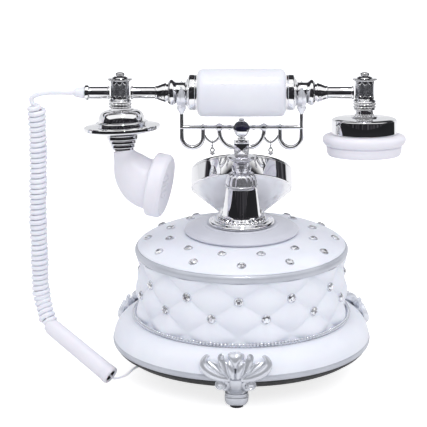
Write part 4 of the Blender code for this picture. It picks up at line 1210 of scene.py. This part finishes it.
def make_cradle_arm(side_name, side):
    """Upright running into a hook, bar with its balls, arc down to the post, and the pendant's wire."""
    hook = 8.45
    hook_x, hook_z = UPRIGHT_X - hook, 194.4
    bar_z, inner_x, bead_x, hook_end = 202.4, 17.6, 9.6, UPRIGHT_X - 2 * hook
    upright = [(UPRIGHT_X, 0, 213.4), (UPRIGHT_X, 0, 208), (UPRIGHT_X, 0, 202), (UPRIGHT_X, 0, 197)]
    upright += arc(hook_x, hook_z, hook, hook, 0, -180, 28)
    upright += [(hook_end, 0, 197.5), (hook_end, 0, bar_z - 0.5)]
    radii = [1.65, 1.7, 1.7, 1.75] + [1.9] * 29 + [1.8, 1.75]
    curve = [(inner_x, 0, bar_z - 0.5), (inner_x, 0, 201)] + arc(6.2, 199.6, inner_x - 6.2, 13.4, 0, -90, 20)
    bar = [(UPRIGHT_X, 0, bar_z), (40, 0, bar_z), (20, 0, bar_z), (BALL_RADIUS - 0.4, 0, bar_z)]
    wire_path = flowing([(hook_end - 0.2, 0, 197.5), (28.0, 0, 193.6), (25.2, 0, 190.9), (23.1, 0, 190.2),
                         (21.0, 0, 190.8), (18.6, 0, 193.2), (16.9, 0, 196.4)], 5)
    rods = [(upright, radii, 20), (curve, 1.85, 16), (bar, 1.6, 16), (wire_path, 1.05, 12)]
    shapes = []
    for points, thickness, sides in rods:
        shapes.append(swept([(side * x, y, z) for x, y, z in points], thickness, sides))
    for x, radius in ((hook_end, 2.5), (inner_x, 3.2), (bead_x, 2.2), (UPRIGHT_X, 1.9)):
        shapes.append(ball(radius, (side * x, 0, bar_z), segments=SMALL, rings=20))
    for x, radius in ((hook_end, 2.5), (inner_x, 3.2)):
        for edge in (-1, 1):
            collar = hoop(1.7, 0.4, SMALL, 10)
            collar.transform(at(side * x + edge * (radius + 0.1), 0, bar_z) @ along_x(1))
            shapes.append(collar)
    put(f"arm_{side_name}", joined(shapes), "cradle", ("chrome", WIRE_CHROME), BASE,
        [f"cradle_arm_{side_name}"])


def make_fork(side_name, side):
    """Leaf-shaped fork: a stem that opens into two prongs round the handset's neck, with a raised rib."""
    centre = ROD_CENTRE.z
    inner, thick = 9.3, 2.6
    # (angle above the level of the neck's axis, extra reach, half width, half thickness)
    path = [(34, 1.9, 0.8, 0.7), (16, 0.8, 2.0, 1.1), (0, 0.2, 2.9, 1.3), (-25, 0, 3.6, 1.3),
            (-50, 0, 3.7, 1.3), (-75, 0, 3.6, 1.4), (-90, 0, 3.6, 1.5)]
    path += [(-180 - angle, reach, wide, up) for angle, reach, wide, up in reversed(path[:-1])]
    rings = []
    for angle, reach, wide, half in flowing(path, 4):
        turn = math.radians(angle)
        outward = Vector((0, math.cos(turn), math.sin(turn)))
        middle_line = Vector((0, 0, centre)) + outward * (inner + thick / 2 + reach)
        outline = [(-1, -0.5), (-0.6, -1), (0.6, -1), (1, -0.5), (0.85, 0.35), (0.3, 0.75), (0, 1.3),
                   (-0.3, 0.75), (-0.85, 0.35)]
        rings.append([middle_line + Vector((across * wide, 0, 0)) + outward * (up * half)
                      for across, up in outline])
    # (height, half width, half depth)
    stem = [(213.4, 1.5, 1.5), (214.2, 1.8, 1.7), (215.6, 2.7, 2.1), (217.2, 3.5, 2.6), (218.8, 3.7, 3.2),
            (220.2, 3.5, 3.8)]
    taper = [[(across, deep, height) for across, deep in bulged(wide, depth, 0.9, 20)]
             for height, wide, depth in flowing(stem, 3)]
    mesh = joined([lofted(rings), lofted(taper)])
    mesh.transform(at(side * UPRIGHT_X, 0, 0))
    put(f"fork_{side_name}", mesh, "cradle", ("silver_paint", FORK_SILVER), BASE,
        [f"cradle_fork_{side_name}"])


def make_pendant(side_name):
    """Ring on the wire, crossed links, an open ring and a small cluster.
    The frame's origin is on the swing axis."""
    hinge = joint(f"{side_name}_pendant_swing")["pos_m"]
    ring = hoop(1.7, 0.45, SMALL, 10)
    ring.transform(at(0, 0, -0.3) @ tilted(90, "Y"))
    shapes = [ring]
    for side in (-1, 1):
        link = [(side * 0.75, 0, -1.9), (0, side * 0.2, -3.4), (-side * 0.75, 0, -4.9)]
        shapes.append(swept(link, 0.5, 10))
    shapes.append(hoop(1.5, 0.6, SMALL, 12))
    shapes[-1].transform(at(0, 0, -6.5) @ tilted(90, "X"))
    for x, z, radius in ((-0.95, -9.1, 1.1), (0.95, -9.1, 1.1), (0, -8.4, 0.8), (0, -10.2, 0.8)):
        shapes.append(ball(radius, (x, 0, z)))
    put(f"drop_{side_name}", joined(shapes), f"{side_name}_pendant", "chrome", Matrix.Translation(hinge),
        [f"pendant_{side_name}"])


# ---------------------------------------------------------------- handset

def make_grip():
    """White barrel, a little fuller in its middle, with rounded ends."""
    half = half_width("grip")
    radius = 19.0
    crown = 0.12
    side = [(radius - crown - 2.2, half - 0.9), (radius - crown - 0.6, half - 2.4),
            (radius - crown, half - 4.8)]
    barrel = flowing([(radius - crown, half - 5.0), (radius - crown * 0.3, half * 0.5), (radius, 0),
                      (radius - crown * 0.3, -half * 0.5), (radius - crown, 5.0 - half)], 6)
    top = flowing([(15.0, half - 0.1)] + side, 4)
    profile = [(4.3, half)] + top + barrel + [(r, -z) for r, z in reversed(top)] + [(4.3, -half)]
    put("grip_barrel", turned(profile, LARGE), "handset", "white_plastic", HANDSET @ along_x(1), ["grip"])


def make_ferrule_and_stem(side_name, side, tee_x):
    """Chrome ring at the grip's end, then the turned stem of neck, bell collar, ball ring and tube."""
    first = half_width("grip") + 0.3
    ferrule = rounded([(4.3, 42.0), (12.8, 42.0, 0.3), (14.4, 41.0, 0.8), (14.4, first + 1.6, 0.5),
                       (14.0, first + 1.2, 0.2), (14.4, first + 0.7, 0.3), (14.2, first), (4.3, first)], 4)
    place = HANDSET @ along_x(side)
    put(f"grip_ring_{side_name}", turned(ferrule, MEDIUM), "handset", "chrome", place,
        [f"ferrule_{side_name}"])
    outline = [(0, 42.3), (11.4, 42.3)]
    outline += flowing([(11.5, 42.5), (10.6, 43.2), (9.0, 44.0), (8.25, 45.2)], 4)
    outline += flowing([(8.2, 45.6), (8.2, 48.5), (8.25, 51.2)], 2)
    outline += flowing([(8.4, 51.5), (9.2, 52.6), (10.2, 54.0), (10.5, 55.1), (10.2, 56.2), (9.0, 57.4)], 4)
    outline += rounded([(8.8, 57.7), (6.8, 58.4, 0.3), (6.9, 58.9, 0.2), (7.7, 59.2, 0.2),
                        (7.8, 60.4, 0.5)], 3)
    outline += flowing([(7.5, 60.8), (6.9, 62.6), (5.9, 65.0), (5.3, 66.4)], 4)
    end = abs(tee_x) - 8.2
    outline += rounded([(5.5, 66.8, 0.2), (5.5, 67.6, 0.3), (4.7, 68.0, 0.2), (4.7, end - 2.2, 0.3),
                        (5.3, end - 1.8, 0.2), (5.3, end - 0.4, 0.3), (4.7, end), (0, end)], 3)
    put(f"stem_turning_{side_name}", turned(outline, MEDIUM), "handset", "chrome", place,
        [f"stem_{side_name}"])


def make_tee(side_name, x):
    """Upright block at the stem's end: button and dome on a scalloped cap, engraved block
    and beaded collar."""
    place = HANDSET @ at(x, 0, 0)
    beads = 20

    def beading(angle, radius, height):
        beaded = -11.6 < height < -7.2 or 9.7 < height < 11.1
        return lobes(angle, beads, 0.5, 0.7) if beaded else 0.0

    top = flowing([(0, 16.3), (1.8, 16.15), (3.3, 15.6), (3.9, 14.7), (3.7, 13.9), (3.2, 13.5)], 4)
    top += flowing([(3.6, 13.2), (4.8, 12.9), (6.0, 12.2), (6.6, 11.6)], 3)
    top += flowing([(6.9, 11.45), (8.4, 11.4), (9.6, 11.3)], 3)
    top += flowing([(9.9, 11.1), (10.0, 10.6), (9.6, 10.0), (8.4, 9.5), (6.0, 9.2)], 3) + [(0, 9.2)]
    block = flowing([(0, 9.1), (7.3, 9.1), (7.5, 8.0), (7.4, 2.0), (7.4, -3.0), (7.3, -4.3)], 4) + [(0, -4.3)]
    collar = [(0, -3.9)] + flowing([(7.1, -3.9), (7.6, -5.0), (8.8, -5.9), (9.5, -6.6), (9.1, -7.2)], 3)
    collar += flowing([(8.3, -7.4), (9.0, -8.2), (9.3, -8.9), (8.9, -9.5), (8.1, -9.8)], 3)
    collar += flowing([(8.0, -10.0), (8.8, -10.5), (9.2, -11.2), (8.8, -11.8), (8.2, -12.1)], 3)
    collar.append((0, -12.1))
    scale = softened(scallop_scale())
    count = 10
    places = []
    for k in range(count):
        turn = spun(math.tau * k / count - math.pi / 2, "Z")
        places.append(turn @ at(7.4, 0, 9.6) @ spun(math.pi, "X"))
        places.append(turn @ at(7.4, 0, -4.8))
    trim = joined([turned(top, LARGE, beading), turned(collar, LARGE, beading), copies(scale, places)])
    put(f"tee_block_{side_name}", turned(block, MEDIUM), "handset", ("chrome", ENGRAVED), place,
        [f"tee_{side_name}"])
    put(f"tee_trim_{side_name}", trim, "handset", "chrome", place)


def scallop_scale():
    """One rounded tongue that stands on the block's wall, facing +X."""
    # (height, half width, thickness)
    rings = []
    for height, wide, thick in ((0.0, 2.3, 0.5), (1.0, 2.2, 0.5), (2.0, 1.7, 0.45), (2.8, 0.9, 0.35),
                                (3.1, 0.3, 0.2)):
        outline = bulged(thick, wide, 1.0, 10)
        rings.append([(out, across, height) for out, across in outline])
    return lofted(rings)


def make_mouth_bell():
    """Domed bell on a mirror disc, with the stacked rings under it."""
    neck = rounded([(0, -13.0), (10.0, -13.0, 0.2), (10.8, -13.4, 0.2)], 3)
    dome = flowing([(11.2, -13.6), (13.9, -14.2), (16.3, -15.8), (17.8, -18.3), (18.4, -20.5),
                    (18.5, -22.2)], 5)
    step = rounded([(19.0, -22.5, 0.2), (20.6, -22.8, 0.4), (21.0, -23.6, 0.3), (20.6, -24.6, 0.3)], 4)
    disc = flowing([(21.4, -25.0), (24.5, -25.4), (27.5, -25.7), (29.6, -26.0)], 4)
    rim = rounded([(30.2, -26.3, 0.3), (30.2, -28.9, 0.5), (28.8, -29.8, 0.5), (14.2, -33.2, 0.6)], 4)
    stack = []
    for radius, top, bottom in ((13.0, -33.7, -36.7), (11.3, -37.7, -40.0), (10.1, -40.9, -43.4)):
        stack += [(radius - 1.0, top + 0.5), (radius, top, 0.4), (radius, bottom, 0.5),
                  (radius - 1.3, bottom - 0.3)]
    stack = rounded(stack, 3)
    profile = neck + dome + step + disc + rim + stack + [(8.9, -45.0), (0, -45.0)]
    put("mouth_bell_turning", turned(profile, LARGE), "handset", "chrome", MOUTH, ["mouth_bell"])


def horn_facing():
    """Way the mouthpiece faces, in the handset's frame."""
    down, aside = math.radians(11), math.radians(11)
    return Vector((math.cos(down), -math.sin(aside), -math.sin(down))).normalized()


def make_horn():
    """Bent white horn, widening into the round cap with its speaking holes."""
    facing = horn_facing()
    capsule_depth = 4.25
    cap_back = in_handset(axis_point("microphone")) - facing * capsule_depth + Vector((0.6, 0, 2.6))
    neck = Vector((math.sin(MOUTH_TILT), 0, -math.cos(MOUTH_TILT)))
    start = Vector((MOUTH_X, 0, 0)) + neck * 45.4
    end = cap_back - facing * 0.3
    reach = end - start
    # (share of the way out, share of the way down, radius)
    bend = flowing([(0, 0, 8.2), (0.06, 0.17, 9.4), (0.20, 0.40, 13.6), (0.40, 0.66, 17.2),
                    (0.64, 0.87, 19.6), (0.84, 0.965, 20.6), (1.0, 1.0, 21.0)], 6)
    path = [start + Vector((reach.x * out, reach.y * out, reach.z * fall)) for out, fall, _ in bend]
    put("horn_bend", swept(path, [radius for _, _, radius in bend], 64), "handset",
        ("white_plastic", SATIN_WHITE), HANDSET, ["horn"])
    depth, rim = 13.0, 25.5
    cap = [(0, 9.6), (16.5, 9.6), (16.9, 0.2)]
    outer = rounded([(17.4, 0, 0.3), (23.6, 0, 0.8), (rim, 1.4, 0.8), (rim, depth - 2.4, 0.9),
                     (rim - 2.2, depth - 0.2, 0.7)], 5)
    face = flowing([(22.6, depth), (19.0, depth - 1.0), (12.0, depth - 1.8), (0, depth - 2.1)], 5)
    mesh = turned(cap + outer + face, LARGE)
    holes = [at(0, 0, depth)]
    for count, reach in ((6, 5.0), (12, 9.6)):
        for k in range(count):
            angle = math.tau * k / count
            holes.append(at(*polar(reach, angle, depth)))
    mesh = cut(mesh, drills(holes, 1.1, 6.0))
    turn = facing.to_track_quat("Z", "Y").to_matrix().to_4x4()
    put("mouth_cap", mesh, "handset", ("white_plastic", SATIN_WHITE), HANDSET @ at(*cap_back) @ turn,
        ["horn_cap"])


def make_earpiece():
    """Chrome cup and neck, and the white cap with flange, lip and listening holes."""
    neck = rounded([(0, -12.2), (8.6, -12.2, 0.2), (9.2, -12.9, 0.4), (7.8, -13.7, 0.4)], 4)
    waist = flowing([(7.3, -14.1), (7.1, -15.6), (7.6, -17.2), (9.4, -17.9)], 4)
    shoulder = rounded([(10.8, -18.2, 0.3), (10.9, -19.0, 0.4), (12.4, -19.4, 0.3), (23.2, -19.9, 0.8),
                        (25.8, -21.0, 0.9), (25.8, -32.4, 0.2), (23.0, -32.4), (23.0, -24.6)], 4)
    beads = 16

    def beading(angle, radius, height):
        return lobes(angle, beads, 0.4, 0.7) if -17.4 < height < -14.3 else 0.0

    place = HANDSET @ at(EAR_X, 0, 0)
    cup = turned(neck + waist + shoulder + [(0, -24.2)], LARGE, beading)
    put("ear_cup_turning", cup, "handset", "chrome", place, ["ear_cup"])
    bottom = -50.2
    flange = rounded([(23.4, -32.7), (27.8, -32.7, 1.0), (31.8, -33.8, 1.4), (33.1, -36.0, 1.2),
                      (32.8, -38.8, 1.2), (31.0, -41.2, 0.8), (28.9, -41.9, 0.1)], 5)
    lip = rounded([(29.9, -42.6, 0.3), (29.6, bottom + 3.0, 1.4), (28.2, bottom + 0.5, 1.0),
                   (25.6, bottom, 0.8), (23.6, bottom + 0.5, 0.6)], 5)
    face = flowing([(21.6, bottom + 1.6), (12.0, bottom + 2.6), (0, bottom + 2.2)], 4)
    mesh = turned(flange + lip + face + [(0, -45.8), (23.4, -45.8)], LARGE)
    holes = [at(0, 0, bottom + 2)]
    for k in range(8):
        angle = math.tau * k / 8
        holes.append(at(*polar(8.0, angle, bottom + 2)))
    mesh = cut(mesh, drills(holes, 1.2, 6.0))
    put("ear_shell", mesh, "handset", ("white_plastic", SATIN_WHITE), place, ["ear_cap"])


# ---------------------------------------------------------------- cord

# The sleeve's ends, in millimetres from the base's axis and the table
SLEEVE_START = Vector((-155.0, -10.0, 42.0))
SLEEVE_END = Vector((-103.5, -42.0, 9.0))
SLEEVE_DOWN = (SLEEVE_END - SLEEVE_START).normalized()


def make_cord_stub():
    """Chrome tube out of the mouthpiece's tee, which the cord leaves from."""
    place = HANDSET @ at(MOUTH_X, 0, 0) @ along_x(-1)
    outline = rounded([(0, 8.1), (5.2, 8.1, 0.2), (5.2, 9.6, 0.3), (4.8, 9.9, 0.2), (4.8, 24.2, 0.3),
                       (5.6, 24.6, 0.2), (6.0, 25.4, 0.4), (6.0, 27.4, 0.5), (5.2, 28.2, 0.5), (0, 28.2)], 4)
    put("cord_socket", turned(outline, MEDIUM), "handset", "chrome", place, ["cord_stub"])


def make_cord():
    """Lead from the handset, the long coil that hangs beside the base, and its end in the sleeve."""
    coil_x = hanging_x("cord_coil")
    top, bottom_z = high("cord_coil").z, 72.0
    x = coil_x - AXIS.x
    wire_radius, coil_radius, turns, per_turn = 1.95, 5.4, 43, 20
    # turns over which the coil opens at its top and closes at its foot
    first_turns, last_turns = 0.5, 0.8
    # point where the lead leaves the handset, from the base's axis and the table, in millimetres
    leave = (HANDSET @ Vector(((MOUTH_X - 28.2) * MM, 0, 0))) / MM - Vector((AXIS.x, AXIS.y, 0))
    lead = flowing([tuple(leave), tuple(leave + Vector((-8, 0, 0))), tuple(leave + Vector((-20, 0, 0.2))),
                    tuple(leave + Vector((-32, 0, -0.4))), (x - 3.2, 0.2, top + 4.5),
                    (x - 3.0, 0, top - 1)], 6)
    hang = flowing([(x, 0, top - 2), (x + 0.7, 0.5, 190), (x + 0.2, 0, 160), (x - 0.6, -0.5, 130),
                    (x - 0.2, 0, 100), (x, 0, bottom_z), (x + 2.2, -2.0, 57.5),
                    tuple(SLEEVE_START + SLEEVE_DOWN)], 12)
    hang = [Vector(point) for point in hang]
    frames = path_frames(hang)
    lengths = [0.0]
    for here, there in zip(hang, hang[1:]):
        lengths.append(lengths[-1] + (there - here).length)
    points = [Vector(point) for point in lead]
    radii = [wire_radius] * len(points)
    for step in range(turns * per_turn + 1):
        share = step / (turns * per_turn)
        index = min(int(np.searchsorted(lengths, share * lengths[-1], side="right")) - 1, len(frames) - 2)
        within = (share * lengths[-1] - lengths[index]) / max(lengths[index + 1] - lengths[index], 1e-6)
        centre = frames[index][0].lerp(frames[index + 1][0], within)
        side, up = frames[index][1], frames[index][2]
        grow = min(step / per_turn / first_turns, (turns * per_turn - step) / per_turn / last_turns, 1.0)
        wobble = 0.25 * math.sin(step / per_turn * 0.9) + 0.15 * math.sin(step / per_turn * 2.3)
        reach = max(grow, 0.05) * (coil_radius + wobble)
        angle = math.tau * step / per_turn + math.pi
        points.append(centre + (side * math.cos(angle) + up * math.sin(angle)) * reach)
        radii.append(wire_radius)
    mesh = swept(points, radii, 12)
    cord = linked("cord", mesh)
    mesh.materials.append(CORD)
    cord.matrix_world = BASE
    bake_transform(cord)
    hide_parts("cord_coil", "cord_lead")
    relief = rounded([(0, 0), (4.6, 0, 0.3), (4.4, 2.0, 0.4), (3.6, 6.6, 0.8), (2.6, 8.4, 0.4), (0, 8.6)], 4)
    put("cord_relief", turned(relief, SMALL), "handset", ("white_plastic", CORD),
        HANDSET @ at(MOUTH_X - 28.2, 0, 0) @ along_x(-1))


def hanging_x(node):
    """Middle of the upper part of a hanging piece, across, in millimetres."""
    upper_part = 150
    corners = [vertex.co / MM for vertex in frame["nodes"][node].data.vertices]
    across = [corner.x for corner in corners if corner.z > upper_part]
    return (min(across) + max(across)) / 2


def make_sleeve():
    """Moulded sleeve at the cord's foot, hollow where the thin tail leaves it, with a black lining in that
    hollow as painted shade, and the tail itself.
    """
    length = (SLEEVE_END - SLEEVE_START).length
    body = flowing([(5.6, 0.3), (6.4, 4.0), (6.9, 9.0), (7.2, length - 9.0), (7.2, length - 7.2)], 5)
    ring = rounded([(5.9, length - 7.1, 0.2), (5.9, length - 5.9, 0.2), (7.4, length - 5.8, 0.2),
                    (7.5, length - 1.0, 0.6), (6.8, length, 0.5), (5.4, length, 0.5),
                    (4.9, length - 1.0, 0.4), (4.7, length - 9)], 4)
    mesh = turned([(0, 0)] + body + ring + [(0, length - 9)], MEDIUM)
    place = BASE @ at(*SLEEVE_START) @ turned_to(SLEEVE_DOWN)
    put("sleeve", mesh, "base", ("white_plastic", SATIN_WHITE), place, ["cord_sleeve"])
    # black lining inside the open end: painted shade for the dark hollow
    painted_shade_lining = turned([(0, length - 7.0), (4.3, length - 7.0), (4.5, length - 1.1), (4.85, length - 1.1),
                   (4.85, length - 9.4), (0, length - 9.4)], SMALL)
    put("sleeve_shade_lining", painted_shade_lining, "base", "black_plastic", place)
    tail = flowing([tuple(SLEEVE_END + SLEEVE_DOWN * along) for along in (-8.5, -2, 3)] + [
                    (-92.0, -47.0, 11.5), (-84.0, -44.0, 17.0), (-76.0, -40.0, 17.7)], 8)
    put("tail_wire", swept(tail, 0.9, 12), "base", ("white_plastic", CORD), BASE, ["cord_tail"])


# ---------------------------------------------------------------- assembly

def finish_cad_nodes():
    """The CAD nodes that stay keep their slots and get the same finishes."""
    for node in frame["nodes"].values():
        if node.hide_render:
            continue
        for slot in node.material_slots:
            name = slot.material.name.split(".")[0]
            slot.material = MATERIALS.get(name, MATERIALS["steel"])


def make_telephone():
    """Every piece, from the base up."""
    make_quilted_shell()
    make_deck()
    make_bands()
    make_bead_string()
    make_stones()
    make_underside()
    make_feet()
    make_pedestal()
    make_column()
    make_capital()
    make_dial_cup()
    make_number_plate()
    make_finger_wheel()
    make_cradle_post()
    for side_name, side in (("left", -1), ("right", 1)):
        make_cradle_arm(side_name, side)
        make_fork(side_name, side)
        make_pendant(side_name)
        make_ferrule_and_stem(side_name, side, {"left": MOUTH_X, "right": EAR_X}[side_name])
    make_grip()
    make_tee("left", MOUTH_X)
    make_tee("right", EAR_X)
    make_mouth_bell()
    make_horn()
    make_earpiece()
    make_cord_stub()
    make_cord()
    make_sleeve()
    finish_cad_nodes()


# ---------------------------------------------------------------- studio

FRONT_TURN = math.radians(13)


def frontness(tree, vector):
    """Cosine of the angle between a direction's plan and the dark side of the studio, in front."""
    flat = wire(tree, "ShaderNodeVectorMath", {0: vector, 1: (1.0, 1.0, 0.0)}, operation="MULTIPLY")
    unit = wire(tree, "ShaderNodeVectorMath", {0: flat.outputs[0]}, operation="NORMALIZE")
    toward = (math.sin(FRONT_TURN), -math.cos(FRONT_TURN), 0.0)
    return wire(tree, "ShaderNodeVectorMath", {0: unit.outputs[0], 1: toward},
                operation="DOT_PRODUCT").outputs["Value"]


def stepped(tree, value, first, last):
    """0 before first, 1 after last."""
    return wire(tree, "ShaderNodeMapRange", {
        "Value": value, "From Min": first, "From Max": last, "To Min": 0.0, "To Max": 1.0,
    }).outputs["Result"]


def product(tree, *values):
    """Values multiplied together."""
    result = values[0]
    for value in values[1:]:
        result = wire(tree, "ShaderNodeMath", {0: result, 1: value}, operation="MULTIPLY").outputs[0]
    return result


def make_world():
    """White surroundings. Only reflections see a dark room with a white panel overhead and a low
    pale sweep."""
    world = bpy.data.worlds.new("studio")
    bpy.context.scene.world = world
    world.use_nodes = True
    tree = world.node_tree
    tree.nodes.clear()
    direction = wire(tree, "ShaderNodeTexCoord").outputs["Generated"]
    height = wire(tree, "ShaderNodeSeparateXYZ", {"Vector": direction}).outputs["Z"]
    steep = wire(tree, "ShaderNodeMath", {0: height, 1: 0.05}, operation="MAXIMUM").outputs[0]
    closer = wire(tree, "ShaderNodeMath", {0: 1.0, 1: steep}, operation="DIVIDE").outputs[0]
    onto = wire(tree, "ShaderNodeVectorMath", {0: direction, "Scale": closer}, operation="SCALE").outputs[0]
    panel = wire(tree, "ShaderNodeSeparateXYZ", {"Vector": onto})
    aside = wire(tree, "ShaderNodeMath", {0: panel.outputs["X"]}, operation="ABSOLUTE").outputs[0]
    along = panel.outputs["Y"]
    # the panel's edges, over its height above the telephone
    overhead = product(tree, stepped(tree, aside, 1.95, 1.85), stepped(tree, along, -0.92, -0.80),
                       stepped(tree, along, 0.30, 0.22), stepped(tree, height, 0.05, 0.10))
    sweep = product(tree, stepped(tree, frontness(tree, direction), -0.34, -0.40),
                    stepped(tree, height, 0.36, 0.30))
    stretch = wire(tree, "ShaderNodeVectorMath", {0: direction, 1: (9.0, 9.0, 0.6)}, operation="MULTIPLY")
    streaks = wire(tree, "ShaderNodeTexNoise", {"Vector": stretch.outputs[0], "Scale": 1.0, "Detail": 2.0})
    room = ramp(tree, streaks.outputs["Fac"], [(0.35, (0.010, 0.010, 0.012)), (0.55, (0.035, 0.033, 0.038)),
                                              (0.75, (0.12, 0.12, 0.13))])
    bright = (1.0, 1.0, 1.0, 1.0)
    seen = wire(tree, "ShaderNodeMixRGB", {"Fac": sweep, "Color1": room, "Color2": (0.76, 0.77, 0.79, 1.0)})
    seen = wire(tree, "ShaderNodeMixRGB", {"Fac": overhead, "Color1": seen.outputs[0], "Color2": bright})
    glossy = wire(tree, "ShaderNodeLightPath").outputs["Is Glossy Ray"]
    colour = wire(tree, "ShaderNodeMixRGB", {"Fac": glossy, "Color1": (0.88, 0.885, 0.90, 1.0),
                                             "Color2": seen.outputs[0]})
    background = wire(tree, "ShaderNodeBackground", {"Color": colour.outputs[0], "Strength": 1.0})
    output = wire(tree, "ShaderNodeOutputWorld")
    tree.links.new(background.outputs[0], output.inputs["Surface"])


def make_floor():
    """Plain pale table. Reflections see it end in the dark a little way in front."""
    # half the floor's side, and where the table ends for reflections, with the width of that edge
    reach, table, table_edge = 30.0, 0.42, 0.06
    mesh = bpy.data.meshes.new("floor")
    mesh.from_pydata([(-reach, -reach, 0), (reach, -reach, 0), (reach, reach, 0), (-reach, reach, 0)], [],
                     [(0, 1, 2, 3)])
    floor = linked("floor", mesh)
    material = bpy.data.materials.new("floor_paper")
    mesh.materials.append(material)
    material.use_nodes = True
    tree = material.node_tree
    paper = tree.nodes["Principled BSDF"]
    paper.inputs["Base Color"].default_value = (0.80, 0.80, 0.81, 1.0)
    paper.inputs["Roughness"].default_value = 0.9
    path = wire(tree, "ShaderNodeLightPath")
    # light given off by the paper, seen by the camera and a little in reflections
    glow_for_camera, glow_in_reflections = 0.74, 0.16
    reflected = wire(tree, "ShaderNodeMath", {0: path.outputs["Is Glossy Ray"], 1: glow_in_reflections},
                     operation="MULTIPLY")
    strength = wire(tree, "ShaderNodeMath", {0: path.outputs["Is Camera Ray"], 2: reflected.outputs[0]},
                    operation="MULTIPLY_ADD")
    strength.inputs[1].default_value = glow_for_camera
    lift = wire(tree, "ShaderNodeEmission", {"Color": (1, 1, 1, 1), "Strength": strength.outputs[0]})
    seen = wire(tree, "ShaderNodeAddShader", {0: paper.outputs[0], 1: lift.outputs[0]})
    place = wire(tree, "ShaderNodeNewGeometry").outputs["Position"]
    away = wire(tree, "ShaderNodeVectorMath", {0: place}, operation="LENGTH").outputs["Value"]
    edge = product(tree, path.outputs["Is Glossy Ray"], stepped(tree, away, table, table + table_edge),
                   stepped(tree, frontness(tree, place), -0.40, -0.34))
    night = wire(tree, "ShaderNodeBsdfDiffuse", {"Color": (0.02, 0.02, 0.022, 1.0)})
    both = wire(tree, "ShaderNodeMixShader", {0: edge, 1: seen.outputs[0], 2: night.outputs[0]})
    tree.links.new(both.outputs[0], tree.nodes["Material Output"].inputs["Surface"])


def area_light(name, place, target, size, power, mirrored):
    """Rectangular lamp. A mirrored one shows only in reflections, the others only light the object."""
    light = bpy.data.lights.new(name, "AREA")
    light.shape = "RECTANGLE"
    light.size, light.size_y = size
    light.energy = power
    holder = linked(name, light)
    holder.location = place
    holder.rotation_euler = (Vector(target) - Vector(place)).to_track_quat("-Z", "Y").to_euler()
    holder.visible_glossy = mirrored
    holder.visible_diffuse = not mirrored
    holder.visible_camera = False


def make_lights():
    """Broad soft light from above and from in front, a short strip for the line along the grip,
    and a small spark."""
    grip, away, base_middle = ROD_CENTRE * MM, 1.5, (0, 0, 0.1)
    area_light("overhead", (0.1, -0.35, 1.9), base_middle, (1.6, 1.2), 7.6, False)
    area_light("front", (0.6, -2.0, 1.5), base_middle, (0.7, 0.7), 6.5, False)
    rise = math.radians(62)
    strip = grip + Vector((0, -math.cos(rise), math.sin(rise))) * away
    area_light("strip", strip, grip, (0.11, 0.05), 6.0, True)
    spark_rise = math.radians(84)
    spark = grip + Vector((0.05, -math.cos(spark_rise), math.sin(spark_rise))) * away
    area_light("spark", spark, grip, (0.10, 0.10), 3.0, True)


def make_camera():
    """Long lens from in front and above, in line with the base's axis."""
    camera = bpy.data.cameras.new("camera")
    holder = linked("camera", camera)
    # the lens and the shifts were fitted to the photo
    camera.sensor_width = 36.0
    camera.lens = 220.2
    camera.shift_x, camera.shift_y = -0.0656, 0.0307
    camera.clip_start, camera.clip_end = 0.05, 100.0
    distance, height, downward = 2.0, 0.713, 16.5
    holder.location = (AXIS.x * MM, AXIS.y * MM - distance, height)
    holder.rotation_euler = (math.radians(90 - downward), 0, 0)
    bpy.context.scene.camera = holder


make_telephone()
make_world()
make_floor()
make_lights()
make_camera()
bpy.context.scene.view_settings.view_transform = "Standard"
